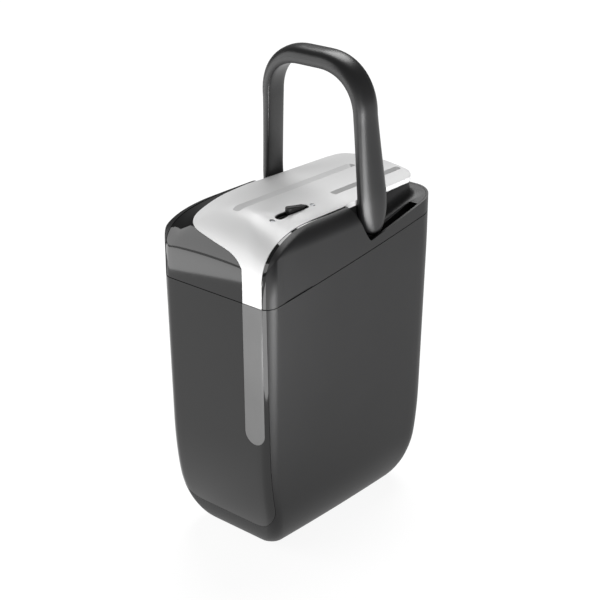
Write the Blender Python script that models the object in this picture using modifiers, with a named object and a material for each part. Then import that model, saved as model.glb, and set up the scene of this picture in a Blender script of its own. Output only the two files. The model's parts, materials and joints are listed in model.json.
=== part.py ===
"""Portable paper shredder: a waste bin, a lift-off cutting head and a folding carry handle.

Frame: origin under the middle of the feet, +Z up. X is the short width, with the level window
on the +X side of the front. Y is the long way, with the gloss front at -Y.
Sizes are in millimetres and become metres when a mesh is made.
"""

import math

import bmesh
import bpy
from mathutils import Matrix, Vector

MM = 0.001

# Driving dimensions
HALF_WIDTH = 97.0
HALF_LENGTH = 170.5
TOP_Z = 460.0
SEAM_FRONT_Z = 363.0
SEAM_SLOPE = 0.131
SEAM_HALF_GAP = 0.9
SLIT_TOP = 1.7
WALL = 3.0
SKIN = 2.2
GAP = 0.4
FOOT_HEIGHT = 2.0

# Outer form
FRONT_CORNER = 16.0
FRONT_CORNER_GROWTH = 36.0
REAR_CORNER = 35.0
SIDE_BULGE = 3.9
SIDE_TAPER = 0.015
FRONT_TAPER = 0.011
REAR_TAPER = 0.014
SIDE_FOOT = (44.0, 76.0)
FRONT_FOOT = (44.0, 160.0)
REAR_FOOT = (50.0, 140.0)
SIDE_FILLET = 24.0
FRONT_ROLL = 62.0
REAR_FILLET = 8.0
CROWN = 9.0
HEAD_LOW_Z = 330.0
CORNER_STEPS = 4
SIDE_STEPS = 4
END_STEPS = 4

# Gloss panel and level window of the bin
BIN_LEVELS = (0.0, 3, 12, 30, 56, 90, 165, 300, 440)
PANEL_HALF = 86.0
PANEL_BOTTOM_Z = 40.0
PANEL_CORNER = 37.0
WINDOW_LEFT = 48.3
WINDOW_RIGHT = 80.5
WINDOW_BOTTOM_Z = 171.0

# White strip over the top, between the two side covers
STRIP_HALF = 76.0
STRIP_FRONT_HALF = 80.0
STRIP_STEP_Y = -4.0
STRIP_STEP_HALF = 74.0
STRIP_REAR_HALF = 69.6
STRIP_REAR_Y = 151.0
STRIP_REAR_CORNER = 20.0
COVER_SKIRT = 6.4

# Sweeping edge of the gloss front as (x, s), with s along (y + z) / sqrt(2)
CURVE_45 = [(-76.4, 300), (-71, 266), (-60.5, 236), (-56.5, 211), (-43, 197), (-12, 189),
            (26, 181), (44, 171), (48.5, 158), (48.3, 100)]

# Slots, slide switch and lenses in the top
PAPER_X = -2.0
PAPER_START = -122.0
PAPER_END = 104.0
PAPER_WIDTH = 6.0
DISC_X = 45.5
DISC_START = 9.0
DISC_END = 144.0
DISC_WIDTH = 5.0
SLIDER_X = 47.5
SLIDER_START = -109.0
SLIDER_END = -47.0
SLIDER_WIDTH = 10.0
KNOB_START = -87.0
KNOB_END = -53.0
LENSES = {"front": (47.8, -116.0), "rear": (50.0, -40.0)}
LENS_R = 3.2

# Rear deck, handle pocket and leg channel
DECK_FRONT_Z = 400.8
DECK_FRONT_Y = 22.0
DECK_SLOPE = 0.20
POCKET_FLOOR_Z = 398.0
POCKET_WALL = [(-12, 475), (-9, 458), (-4, 440), (-1, 433), (11, 413), (18, 403.5)]

# Handle
PIVOT_Y = 37.0
PIVOT_Z = 429.0
PIVOT_PIN_R = 5.0
HANDLE_LEAN = 5.3
LEG_BOTTOM_H = -28.5
LEG_TAPER_H = 20.0
ARCH_TOP_H = 194.5
LEG_X_LOW = 84.5
LEG_X_HIGH = 78.0
LEG_TWIST = 14.0
BACK_SWEEP = 0.03

# Cutting mechanism
PLATE_FRONT_Y = -126.0
PLATE_REAR_Y = 129.5
PLATE_T = 2.5
SHAFT_Z = 388.0
SHAFT_A_X = -18.0
SHAFT_B_X = 14.0
DISC_SHAFT_Z = 367.9
DISC_SHAFT_C_X = 33.5
DISC_SHAFT_D_X = 57.5
MAIN_DISC_R = 18.0
MAIN_CORE_R = 9.0
MAIN_DISC_COUNT = 14
MAIN_PITCH = 17.0
MAIN_FIRST_Y = -113.0
MAIN_DISC_T = 7.0
SMALL_DISC_R = 13.5
SMALL_CORE_R = 7.0
SMALL_FIRST_Y = 23.5
JOURNAL_R = 5.0
BUSH_R = 8.0
BRACKET_Y = -8.0
MOTOR_AXIS = (-62.0, 372.0)
MOTOR_R = 21.0
MOTOR_SHAFT_R = 1.7
STUD_R = 2.6
BASE_SCREWS = ((-70, -100), (82, -100), (-68, 141), (62, 141))

# Gear train, from the motor's pinion to the four cutter shafts
GEAR_MODULE = 1.6
FAST_MODULE = 1.0
GEAR_LAYERS = (133.0, 138.0, 143.0)
GEAR_T = 4.0
MAIN_TEETH = 20
SMALL_TEETH = 15
STEP_TEETH = 10
WHEEL_1_TEETH = 48
WHEEL_2_TEETH = 30
PINION_TEETH = 8

# Paper sensor lever and lid interlock
LEVER_X = 9.0
LEVER_Z = 434.0
PLUNGER_X = -60.0
PLUNGER_Y = -136.0

FINISHES = {
    "matte_charcoal": ((0.045, 0.046, 0.047), 0.48, 0.0),
    "gloss_black": ((0.030, 0.031, 0.032), 0.10, 0.0),
    "satin_white": ((0.80, 0.80, 0.79), 0.32, 0.0),
    "smoke_window": ((0.22, 0.22, 0.22), 0.15, 0.0),
    "handle_grey": ((0.060, 0.061, 0.062), 0.30, 0.0),
    "inner_black": ((0.020, 0.020, 0.021), 0.50, 0.0),
    "steel": ((0.55, 0.55, 0.56), 0.30, 1.0),
    "cutter_steel": ((0.35, 0.35, 0.36), 0.35, 1.0),
    "gear_nylon": ((0.62, 0.60, 0.55), 0.45, 0.0),
    "rubber": ((0.02, 0.02, 0.02), 0.75, 0.0),
    "board_green": ((0.02, 0.12, 0.05), 0.40, 0.0),
    "lens_clear": ((0.75, 0.76, 0.76), 0.12, 0.0),
    "brass": ((0.60, 0.45, 0.18), 0.30, 1.0),
}

parts = None
tools = None


def new_collection(name):
    group = bpy.data.collections.new(name)
    bpy.context.scene.collection.children.link(group)
    return group


def clear_scene():
    for item in list(bpy.data.objects):
        bpy.data.objects.remove(item, do_unlink=True)


def material(name, finish):
    color, roughness, metallic = FINISHES[finish]
    mat = bpy.data.materials.new(name)
    mat.use_nodes = True
    shader = mat.node_tree.nodes["Principled BSDF"]
    shader.inputs["Base Color"].default_value = (*color, 1.0)
    shader.inputs["Roughness"].default_value = roughness
    shader.inputs["Metallic"].default_value = metallic
    mat.diffuse_color = (*color, 1.0)
    return mat


def mesh_object(name, bm, finish=None):
    """A part when it has a finish, and otherwise a tool for cutting."""
    bmesh.ops.recalc_face_normals(bm, faces=bm.faces)
    mesh = bpy.data.meshes.new(name)
    bm.to_mesh(mesh)
    bm.free()
    item = bpy.data.objects.new(name, mesh)
    if finish:
        parts.objects.link(item)
        mesh.materials.append(material(name, finish))
        mesh.shade_smooth()
        mesh.set_sharp_from_angle(angle=math.radians(35))
    else:
        tools.objects.link(item)
        item.hide_render = True
        item.display_type = "WIRE"
    return item


def combine(target, operation, *others):
    for other in others:
        step = target.modifiers.new(other.name, "BOOLEAN")
        step.operation = operation
        step.solver = "EXACT"
        step.object = other
    return target


def cut(target, *others):
    return combine(target, "DIFFERENCE", *others)


def keep(target, *others):
    return combine(target, "INTERSECT", *others)


def join(target, *others):
    return combine(target, "UNION", *others)


def box(name, low, high, finish=None):
    size = [(b - a) * MM for a, b in zip(low, high)]
    centre = [(a + b) / 2 * MM for a, b in zip(low, high)]
    bm = bmesh.new()
    bmesh.ops.create_cube(bm, size=1.0)
    bmesh.ops.scale(bm, vec=size, verts=bm.verts)
    bmesh.ops.translate(bm, vec=centre, verts=bm.verts)
    return mesh_object(name, bm, finish)


def bevelled_box(name, low, high, width, finish=None, segments=2):
    item = box(name, low, high, finish)
    edge = item.modifiers.new("edge", "BEVEL")
    edge.width = width * MM
    edge.segments = segments
    return item


AXIS_TURN = {
    "x": Matrix.Rotation(math.radians(90), 4, "Y"),
    "y": Matrix.Rotation(math.radians(-90), 4, "X"),
    "z": Matrix.Identity(4),
}


def rod(name, radius, start, length, axis="y", finish=None, sides=24):
    """Cylinder that runs from start along +axis."""
    bm = bmesh.new()
    bmesh.ops.create_cone(bm, cap_ends=True, segments=sides, radius1=radius * MM,
                          radius2=radius * MM, depth=length * MM)
    bmesh.ops.translate(bm, vec=(0, 0, length / 2 * MM), verts=bm.verts)
    bmesh.ops.transform(bm, matrix=AXIS_TURN[axis], verts=bm.verts)
    bmesh.ops.translate(bm, vec=Vector(start) * MM, verts=bm.verts)
    return mesh_object(name, bm, finish)


def turned(name, profile, x, y, finish=None, sides=24):
    """Turned piece about the upright line through x, y, from a profile of (radius, z)."""
    bm = bmesh.new()
    verts = [bm.verts.new(Vector((x + radius, y, z)) * MM) for radius, z in profile]
    edges = [bm.edges.new(pair) for pair in zip(verts, verts[1:])]
    bmesh.ops.spin(bm, geom=verts + edges, cent=(x * MM, y * MM, 0), axis=(0, 0, 1),
                   angle=2 * math.pi, steps=sides, use_merge=True)
    bmesh.ops.remove_doubles(bm, verts=bm.verts, dist=1e-6)
    return mesh_object(name, bm, finish)


def prism(name, outline, axis, low, high, finish=None):
    """Extrude a closed outline. Its points are (y, z), (x, z) or (x, y) for axis x, y or z."""
    place = {
        "x": lambda p: (low, p[0], p[1]),
        "y": lambda p: (p[0], low, p[1]),
        "z": lambda p: (p[0], p[1], low),
    }[axis]
    along = {"x": (1, 0, 0), "y": (0, 1, 0), "z": (0, 0, 1)}[axis]
    bm = bmesh.new()
    face = bm.faces.new([bm.verts.new(Vector(place(p)) * MM) for p in outline])
    lifted = bmesh.ops.extrude_face_region(bm, geom=[face])["geom"]
    corners = [item for item in lifted if isinstance(item, bmesh.types.BMVert)]
    bmesh.ops.translate(bm, vec=Vector(along) * (high - low) * MM, verts=corners)
    return mesh_object(name, bm, finish)


def arc(centre, radius, start_deg, end_deg, steps):
    points = []
    for i in range(steps + 1):
        angle = math.radians(start_deg + (end_deg - start_deg) * i / steps)
        points.append((centre[0] + radius * math.cos(angle), centre[1] + radius * math.sin(angle)))
    return points


def smooth_points(anchors, steps):
    """Catmull-Rom curve through the anchors, with both end anchors kept."""
    points = []
    padded = [anchors[0]] + list(anchors) + [anchors[-1]]
    for i in range(1, len(padded) - 2):
        before, start, end, after = (Vector(p) for p in padded[i - 1:i + 3])
        for k in range(steps):
            t = k / steps
            points.append(0.5 * (
                2 * start + (end - before) * t
                + (2 * before - 5 * start + 4 * end - after) * t * t
                + (3 * start - 3 * end + after - before) * t * t * t))
    points.append(Vector(anchors[-1]))
    return points


# Outer form: horizontal rings, each a list of (x, y, z) points in the same order


def plan_ring(half, front, rear, front_corner, rear_corner):
    """Rounded outline as (x, y, front share, side share), counter-clockwise from the right."""
    ring = []

    def corner(cx, cy, rx, ry, start):
        for i in range(CORNER_STEPS + 1):
            turn = math.radians(start + 90 * i / CORNER_STEPS)
            share = math.sin(turn) ** 2
            ring.append((cx + rx * math.cos(turn), cy + ry * math.sin(turn), share))

    def run(start, end, steps, share):
        for i in range(1, steps):
            t = i / steps
            ring.append((start[0] + (end[0] - start[0]) * t, start[1] + (end[1] - start[1]) * t, share))

    fx, fy = front_corner
    rx, ry = rear_corner
    corner(half - rx, rear - ry, rx, ry, 0)
    run((half - rx, rear), (-half + rx, rear), END_STEPS, 1.0)
    corner(-half + rx, rear - ry, rx, ry, 90)
    run((-half, rear - ry), (-half, front + fy), SIDE_STEPS, 0.0)
    corner(-half + fx, front + fy, fx, fy, 180)
    run((-half + fx, front), (half - fx, front), END_STEPS, 1.0)
    corner(half - fx, front + fy, fx, fy, 270)
    run((half, front + fy), (half, rear - ry), SIDE_STEPS, 0.0)
    return ring


def bulged(x, y, half):
    spread = max(0.0, 1 - (y / HALF_LENGTH) ** 2)
    return x * (1 + SIDE_BULGE / max(half, 40.0) * spread)


def foot_inset(height, foot):
    width, tall = foot
    if height >= tall:
        return 0.0
    return width * (1 - math.sqrt(1 - (1 - height / tall) ** 2))


def body_ring(z, inset, front_inset=None, lift=0.0):
    """Level ring of the body at height z, drawn in from the outside by inset."""
    front_inset = inset if front_inset is None else front_inset
    drop = max(0.0, SEAM_FRONT_Z - z)
    height = max(0.0, z - lift)
    half = HALF_WIDTH - SIDE_BULGE - SIDE_TAPER * drop - foot_inset(height, SIDE_FOOT) - inset
    front = -(HALF_LENGTH - FRONT_TAPER * drop - foot_inset(height, FRONT_FOOT) - front_inset)
    rear = HALF_LENGTH - REAR_TAPER * drop - foot_inset(height, REAR_FOOT) - inset
    near = max(FRONT_CORNER - inset, 5.0)
    far = max(REAR_CORNER - inset, 5.0)
    ring = plan_ring(half, front, rear, (near, near), (far, far))
    return [(bulged(x, y, half), y, z) for x, y, _ in ring]


def head_ring(turn_deg, inset):
    """Ring of the top edge, where the sides roll over by turn_deg degrees."""
    cos_t = math.cos(math.radians(turn_deg))
    sin_t = math.sin(math.radians(turn_deg))
    side_r = SIDE_FILLET - inset
    roll_r = FRONT_ROLL - inset
    back_r = REAR_FILLET - min(inset, REAR_FILLET - 1)
    half = HALF_WIDTH - SIDE_BULGE - SIDE_FILLET + side_r * cos_t
    front = -HALF_LENGTH + FRONT_ROLL - roll_r * cos_t
    rear = HALF_LENGTH - REAR_FILLET + back_r * cos_t
    side_z = TOP_Z - CROWN - SIDE_FILLET + side_r * sin_t
    front_z = TOP_Z - FRONT_ROLL + roll_r * sin_t
    rear_z = TOP_Z - REAR_FILLET - 2 + back_r * sin_t
    near = max(FRONT_CORNER - inset, 5.0)
    far = max(REAR_CORNER - inset, 5.0)
    near += FRONT_CORNER_GROWTH * sin_t
    ring = plan_ring(half, front, rear, (near, near), (far, far))
    points = []
    for x, y, share in ring:
        end_z = front_z if y < 0 else rear_z
        drop = CROWN * min(1.0, abs(x) / (HALF_WIDTH - SIDE_FILLET)) ** 2 * sin_t
        z = side_z + (end_z - drop - side_z) * share
        points.append((bulged(x, y, half), y, z))
    return points


def crown_ring(reach, inset):
    """Ring on the crowned top, from reach 1 at the edge towards 0 at the middle line."""
    half = (HALF_WIDTH - SIDE_BULGE - SIDE_FILLET) * reach
    front = -HALF_LENGTH + FRONT_ROLL + 30 * (1 - reach)
    rear = HALF_LENGTH - REAR_FILLET - 30 * (1 - reach)
    near = (FRONT_CORNER + FRONT_CORNER_GROWTH) * reach
    far = FRONT_CORNER * reach
    ring = plan_ring(half, front, rear, (near, near), (far, far))
    points = []
    for x, y, _ in ring:
        z = TOP_Z - inset - CROWN * (abs(x) / (HALF_WIDTH - SIDE_FILLET)) ** 2
        points.append((x, y, z))
    return points


def loft(name, rings, finish=None):
    bm = bmesh.new()
    loops = [[bm.verts.new(Vector(point) * MM) for point in ring] for ring in rings]
    count = len(loops[0])
    for low, high in zip(loops, loops[1:]):
        for i in range(count):
            j = (i + 1) % count
            bm.faces.new((low[i], low[j], high[j], high[i]))
    bm.faces.new(list(reversed(loops[0])))
    bm.faces.new(loops[-1])
    bmesh.ops.triangulate(bm, faces=bm.faces)
    return mesh_object(name, bm, finish)


def head_form(name, inset, finish=None):
    """The head's outer form, or the same form drawn in by inset."""
    rings = [body_ring(HEAD_LOW_Z, inset), body_ring(375.0, inset)]
    rings += [head_ring(turn, inset) for turn in (0, 20, 42, 66, 90)]
    rings += [crown_ring(reach, inset) for reach in (0.68, 0.34, 0.02)]
    return loft(name, rings, finish)


def strip_half(y):
    """Half width of the white strip at y: it widens down the front."""
    if y < -100:
        return STRIP_HALF + (STRIP_FRONT_HALF - STRIP_HALF) * min(1.0, (-100 - y) / 70)
    if y < -12:
        return STRIP_HALF
    share = (y - STRIP_STEP_Y) / (STRIP_REAR_Y - STRIP_STEP_Y)
    return STRIP_STEP_HALF + (STRIP_REAR_HALF - STRIP_STEP_HALF) * share


def strip_plan(inset):
    """Plan outline of the strip from beyond the front to its rounded rear end."""
    corner = STRIP_REAR_CORNER - min(inset, 12)
    turn_y = STRIP_REAR_Y - inset - corner
    right = [(strip_half(y) - inset, y) for y in (-185, -150, -125, -100, -60, -12, -4, 50)]
    centre = (strip_half(turn_y) - inset - corner, turn_y)
    right += arc(centre, corner, 0, 90, 6)
    return right + [(-x, y) for x, y in reversed(right)]


def seam_z(y):
    return SEAM_FRONT_Z + SEAM_SLOPE * (y + HALF_LENGTH)


def above_line(name, height_at, offset, low=-200.0, high=200.0, top=620.0):
    """A block that holds everything above a sloped line in the side view."""
    outline = [(low, height_at(low) + offset), (high, height_at(high) + offset), (high, top), (low, top)]
    return prism(name, outline, "x", -150, 150)


def below_line(name, height_at, offset, low=-200.0, high=200.0, bottom=250.0):
    outline = [(low, bottom), (high, bottom)]
    outline += [(high, height_at(high) + offset), (low, height_at(low) + offset)]
    return prism(name, outline, "x", -150, 150)


def deck_z(y):
    return DECK_FRONT_Z + DECK_SLOPE * (y - DECK_FRONT_Y)


# Bin


def panel_outline(grow):
    """Front view outline of the gloss bin panel: square at the seam, round at the foot."""
    half = PANEL_HALF + grow
    corner = PANEL_CORNER + grow
    foot = PANEL_BOTTOM_Z - grow
    right = arc((half - corner, foot + corner), corner, -90, 0, 6)
    left = arc((-half + corner, foot + corner), corner, 180, 270, 6)
    return [(half, 450), (-half, 450)] + left + right


def window_outline(grow):
    right = WINDOW_RIGHT + grow
    left = WINDOW_LEFT - grow
    radius = (right - left) / 2
    centre = ((right + left) / 2, WINDOW_BOTTOM_Z + radius - grow)
    return [(right, 450), (left, 450)] + arc(centre, radius, 180, 360, 8)


def bin_form(name, inset, front_inset=None, floor=0.0, finish=None):
    rings = []
    for level in BIN_LEVELS:
        z = FOOT_HEIGHT + floor + level * (440 - floor) / 440
        rings.append(body_ring(z, inset, front_inset, lift=floor))
    return loft(name, rings, finish)


def make_bin():
    over_seam = above_line("tool_over_seam", seam_z, -SEAM_HALF_GAP)
    cavity = bin_form("tool_bin_cavity", WALL, WALL + SKIN + GAP, floor=4.0)
    core = bin_form("tool_bin_core", SKIN)
    seat_core = bin_form("tool_bin_seat_core", SKIN + GAP)

    seat = prism("tool_panel_seat", panel_outline(GAP), "y", -200, -90)
    cut(seat, seat_core)
    shell = bin_form("bin_shell", 0.0, finish="matte_charcoal")
    sight = prism("tool_sight_slot", [(56, 345), (56, 196)] + arc((64.5, 196), 8.5, 180, 360, 6)
                  + [(73, 345)], "y", -200, -120)
    cut(shell, cavity)
    join(shell, box("tool_plunger_rib", (PLUNGER_X - 4, -166.5, 326), (PLUNGER_X + 4, PLUNGER_Y + 8, 338)))
    cut(shell, over_seam, seat, sight)

    window_hole = prism("tool_window_hole", window_outline(GAP), "y", -200, -90)
    panel = bin_form("bin_front_panel", 0.0, finish="gloss_black")
    keep(panel, prism("tool_panel_outline", panel_outline(0.0), "y", -200, -90))
    cut(panel, core, over_seam, window_hole)

    window = bin_form("bin_window", 0.0, finish="smoke_window")
    keep(window, prism("tool_window_outline", window_outline(0.0), "y", -200, -90))
    cut(window, core, over_seam)

    for y, end in ((-92, "front"), (86, "rear")):
        bevelled_box(f"bin_foot_{end}", (-38, y - 8, 0), (38, y + 8, FOOT_HEIGHT - 0.3), 0.5, "rubber", 1)


# Head covers

def front_region(name, shift):
    """Block over the gloss front, left of the sweeping edge. shift moves the edge to the gloss side."""
    edge = smooth_points(CURVE_45, 4)
    moved = []
    for i, point in enumerate(edge):
        before = edge[max(i - 1, 0)]
        after = edge[min(i + 1, len(edge) - 1)]
        along = (after - before).normalized()
        moved.append(point + Vector((along.y, -along.x)) * -shift)
    outline = [(-130, moved[0].y)] + [tuple(p) for p in moved] + [(-130, moved[-1].y)]
    bm = bmesh.new()
    root = math.sqrt(0.5)
    near = [bm.verts.new(Vector((x, s * root - 330, s * root + 330)) * MM) for x, s in outline]
    face = bm.faces.new(near)
    lifted = bmesh.ops.extrude_face_region(bm, geom=[face])["geom"]
    corners = [item for item in lifted if isinstance(item, bmesh.types.BMVert)]
    bmesh.ops.translate(bm, vec=Vector((0, 370, -370)) * MM, verts=corners)
    return mesh_object(name, bm)


def slot_tool(name, x, start, end, width, low, high, finish=None):
    """Upright slot with round ends, running along Y."""
    radius = width / 2
    outline = arc((x, start + radius), radius, 180, 360, 6) + arc((x, end - radius), radius, 0, 180, 6)
    return prism(name, outline, "z", low, high, finish)


def make_top():
    under_seam = below_line("tool_under_seam", seam_z, SEAM_HALF_GAP)
    gloss_side = front_region("tool_front_region", 0.0)
    white_side = front_region("tool_front_region_white", GAP)
    inner = head_form("tool_head_inner", SKIN)
    skirt_core = head_form("tool_head_skirt_core", COVER_SKIRT)
    strip = prism("tool_strip", strip_plan(0.0), "z", 300, 480)
    strip_core = prism("tool_strip_core", strip_plan(2.5), "z", 300, 480)
    hollow = head_form("tool_cover_hollow", SKIN)
    keep(hollow, strip_core)

    cover = head_form("top_cover", 0.0, "satin_white")
    keep(cover, strip)
    cut(cover, hollow, skirt_core, under_seam, white_side)
    cut(cover, slot_tool("tool_paper_slot", PAPER_X, PAPER_START, PAPER_END, PAPER_WIDTH, 440, 480))
    cut(cover, slot_tool("tool_disc_slot", DISC_X, DISC_START, DISC_END, DISC_WIDTH, 440, 480))
    cut(cover, slot_tool("tool_slider_hole", SLIDER_X, SLIDER_START - 0.4, SLIDER_END + 0.4,
                         SLIDER_WIDTH + 0.8, 440, 480))
    for end, (x, y) in LENSES.items():
        cut(cover, rod(f"tool_lens_hole_{end}", LENS_R + 0.3, (x, y, 440), 40, "z", sides=16))
        lens = rod(f"indicator_lens_{end}", LENS_R, (x, y, 450), 30, "z", "lens_clear", 16)
        keep(lens, head_form(f"tool_lens_form_{end}", 0.1))

    front = head_form("head_front_cover", 0.0, "gloss_black")
    keep(front, strip, gloss_side)
    cut(front, inner, under_seam)

    track = slot_tool("slider_track", SLIDER_X, SLIDER_START, SLIDER_END, SLIDER_WIDTH,
                      448, 480, "inner_black")
    keep(track, head_form("tool_track_form", 0.2))
    cut(track, slot_tool("tool_track_hollow", SLIDER_X, SLIDER_START + 0.9, SLIDER_END - 0.9,
                         SLIDER_WIDTH - 1.8, 452.5, 480))
    cut(track, slot_tool("tool_track_slit", SLIDER_X, SLIDER_START + 6, SLIDER_END - 6, 3.4, 440, 480))


def make_side_covers():
    under_seam = below_line("tool_side_under_seam", seam_z, SEAM_HALF_GAP)
    inner = head_form("tool_side_inner", WALL)
    strip = prism("tool_side_strip", strip_plan(-GAP), "z", 300, 480)
    rear_gap = box("tool_rear_gap", (-62, 120, 300), (62, 200, 500))
    notch = prism("tool_leg_notch", notch_outline(), "x", -150, 150)
    slit_line = [(-150, seam_z(-150) - 2), (-94, seam_z(-94) - 2)]
    slit_line += [(-94, seam_z(-94) + SLIT_TOP), (-138, seam_z(-138) + SLIT_TOP)]
    slit = prism("tool_side_slit", slit_line, "x", -150, 150)
    for side, span in (("right", (0.5, 150)), ("left", (-150, -0.5))):
        cover = head_form(f"side_cover_{side}", 0.0, "matte_charcoal")
        keep(cover, box(f"tool_half_{side}", (span[0], -200, 250), (span[1], 200, 520)))
        cut(cover, inner, strip, under_seam, rear_gap, notch, slit)

    rear = head_form("rear_cover", 0.0, "matte_charcoal")
    keep(rear, box("tool_rear_span", (-61.6, 140, 300), (61.6, 200, 500)))
    cut(rear, head_form("tool_rear_inner", WALL), below_line("tool_rear_under_seam", seam_z, SEAM_HALF_GAP),
        above_line("tool_rear_over_deck", deck_z, 0.0))
    cut(rear, box("tool_inlet_hole", (-36.5, 150, 411.8), (-19.5, 190, 423.0)))


def channel_outline(grow):
    """Plan of the channel that takes the folded leg's lower edge: it runs inwards to the rear."""
    half = 7.0 + grow
    return [(93.0 - half, 40), (93.0 + half, 40), (88.0 + half, 100), (85.5 + half, 126 + grow),
            (85.5 - half, 126 + grow), (88.0 - half, 100)]


def notch_outline():
    """Side view of all the room over the deck, from the pocket's front wall backwards."""
    return POCKET_WALL + [(DECK_FRONT_Y, DECK_FRONT_Z), (190, deck_z(190)), (190, 475)]


def make_deck():
    """Rear deck: the sloped ledge, the block wall under the white rim, both leg pockets."""
    deck = head_form("rear_deck", WALL + GAP, "matte_charcoal")
    keep(deck, prism("tool_deck_side", [
        (22, POCKET_FLOOR_Z - 2.5), (60, POCKET_FLOOR_Z - 2.5), (132, deck_z(132) - 13),
        (134, deck_z(134) - WALL), (190, deck_z(190) - WALL), (190, 470), (-16.5, 470),
        (-12.5, 458), (-7, 440), (-3.5, 431.5), (8.5, 411.5), (15.5, 402)], "x", -150, 150))
    room = prism("tool_deck_room", notch_outline(), "x", -150, 150)
    cut(room, prism("tool_block_outer", strip_plan(1.0), "z", 340, 480))
    under_rim = prism("tool_rim_room", strip_plan(-3.0), "z", 425, 480)
    cut(under_rim, head_form("tool_rim_form", COVER_SKIRT + GAP))
    cut(deck, room, prism("tool_block_inner", strip_plan(3.5), "z", 340, 480), under_rim)
    for side, sign in (("right", 1), ("left", -1)):
        span = sorted((75.8 * sign, 130 * sign))
        pocket = prism(f"tool_pocket_{side}", POCKET_WALL + [(25, POCKET_FLOOR_Z), (62, POCKET_FLOOR_Z),
                                                              (62, 475)], "x", *span)
        lane = prism(f"tool_lane_{side}", [(x * sign, y) for x, y in channel_outline(0)], "z", 390, 470)
        keep(lane, above_line(f"tool_lane_floor_{side}", deck_z, -10.0))
        hole_start = 60 if sign > 0 else -80
        hole = rod(f"tool_pin_hole_{side}", PIVOT_PIN_R + 0.3, (hole_start, PIVOT_Y, PIVOT_Z), 20, "x")
        cut(deck, pocket, lane, hole)


def make_head_base():
    """Tray that carries the mechanism and nests in the bin, with a thin flange on the bin's rim."""
    front = SKIN + GAP
    outer = WALL + 1.6
    low = 346.0

    def plan(inset):
        return [(x, y) for x, y, _ in body_ring(360.0, inset, inset + front)]

    shell = prism("head_base", plan(outer), "z", low, 430, "inner_black")
    cut(shell, above_line("tool_base_top", seam_z, 1.8))
    cut(shell, prism("tool_base_inner", plan(outer + 2.5), "z", low + 2.5, 440))
    flange = prism("tool_flange", [(x, y) for x, y, _ in body_ring(380.0, 1.4)], "z", 340, 430)
    cut(flange, above_line("tool_over_flange", seam_z, 0.5), below_line("tool_under_flange", seam_z, -0.5))
    cut(flange, prism("tool_flange_hole", plan(outer + 1.0), "z", 330, 440))
    join(shell, flange)
    cut(shell, box("tool_shred_exit", (-34, -118, 330), (76, 122, 360)))
    cut(shell, rod("tool_plunger_hole", 3.4, (PLUNGER_X, PLUNGER_Y, 330), 30, "z"))
    for index, (x, y) in enumerate(BASE_SCREWS, 1):
        cut(shell, rod(f"tool_base_screw_{index}", 2.3, (x, y, 330), 30, "z", sides=12))
        profile = [(0, 343.2), (4.2, 343.2), (4.2, 345.6), (2.0, 345.6), (2.0, 355), (0, 355)]
        turned(f"base_screw_{index}", profile, x, y, "steel", 12)


# Handle

def handle_path():
    """Right half of the handle's middle line as (x, h), h measured up from the pivot."""
    points = []
    for share in (0.0, 0.08, 0.25, 0.55, 1.0):
        points.append(LEG_BOTTOM_H + (LEG_TAPER_H - LEG_BOTTOM_H) * share)
    points += [60, 100]
    path = [(leg_x(h), h) for h in points]
    start_x, start_h = leg_x(132), 132
    corner_h = ARCH_TOP_H - start_h
    corner_w = 60.0
    for i in range(7):
        turn = math.radians(90 * i / 6)
        x = start_x - corner_w * (1 - math.cos(turn) ** 0.9)
        h = start_h + corner_h * math.sin(turn) ** 0.9
        path.append((x, h))
    return path


def leg_x(h):
    share = max(0.0, (h - 26) / 90)
    return LEG_X_LOW + (LEG_X_HIGH - LEG_X_LOW) * share


def handle_section(width, thickness, flat):
    """D-shaped section as (u, v): u outwards, v along the width, rear positive."""
    outer = thickness * 0.64
    inner = thickness * 0.30
    points = []
    count = 12
    for i in range(count):
        angle = 2 * math.pi * i / count
        v = width / 2 * math.copysign(abs(math.sin(angle)) ** 0.8, math.sin(angle))
        reach = outer if math.cos(angle) > 0 else inner
        power = 0.9 if math.cos(angle) > 0 else flat
        u = reach * math.copysign(abs(math.cos(angle)) ** power, math.cos(angle))
        points.append((u, v))
    return points


def make_handle():
    right = handle_path()
    path = right + [(-x, h) for x, h in reversed(right)]
    top = max(h for _, h in path)
    lean = math.radians(HANDLE_LEAN)
    up = Vector((0, -math.sin(lean), math.cos(lean)))
    back = Vector((0, math.cos(lean), math.sin(lean)))
    root = Vector((0, PIVOT_Y + 1.9, PIVOT_Z))
    rings = []
    last = len(path) - 1
    for i, (x, h) in enumerate(path):
        before = Vector(path[max(i - 1, 0)])
        after = Vector(path[min(i + 1, last)])
        along = (after - before).normalized()
        out = Vector((along.y, -along.x))
        share = max(0.0, (h - LEG_TAPER_H) / (top - LEG_TAPER_H))
        width = 44.0 - 8.0 * min(1.0, share * 1.6) + 2.0 * share ** 4
        thickness = 15.0 + 8.0 * share ** 3
        middle = root + Vector((x, BACK_SWEEP * max(0.0, h - LEG_TAPER_H), 0))
        twist = math.radians(LEG_TWIST * (1 - share) ** 0.7)
        if h < LEG_TAPER_H:
            fall = (LEG_TAPER_H - h) / (LEG_TAPER_H - LEG_BOTTOM_H + 0.8)
            width *= math.sqrt(1 - fall ** 2.2)
            thickness *= 0.45 + 0.55 * math.sqrt(1 - fall ** 2)
        ring = []
        for u, v in handle_section(width, thickness, 0.25):
            turned_u = u * math.cos(twist) + v * math.sin(twist)
            turned_v = -u * math.sin(twist) + v * math.cos(twist)
            flat = out * turned_u
            ring.append(middle + Vector((flat.x, 0, 0)) + up * (h + flat.y) + back * turned_v)
        rings.append(ring)
    return loft("handle", rings, "handle_grey")


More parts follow.
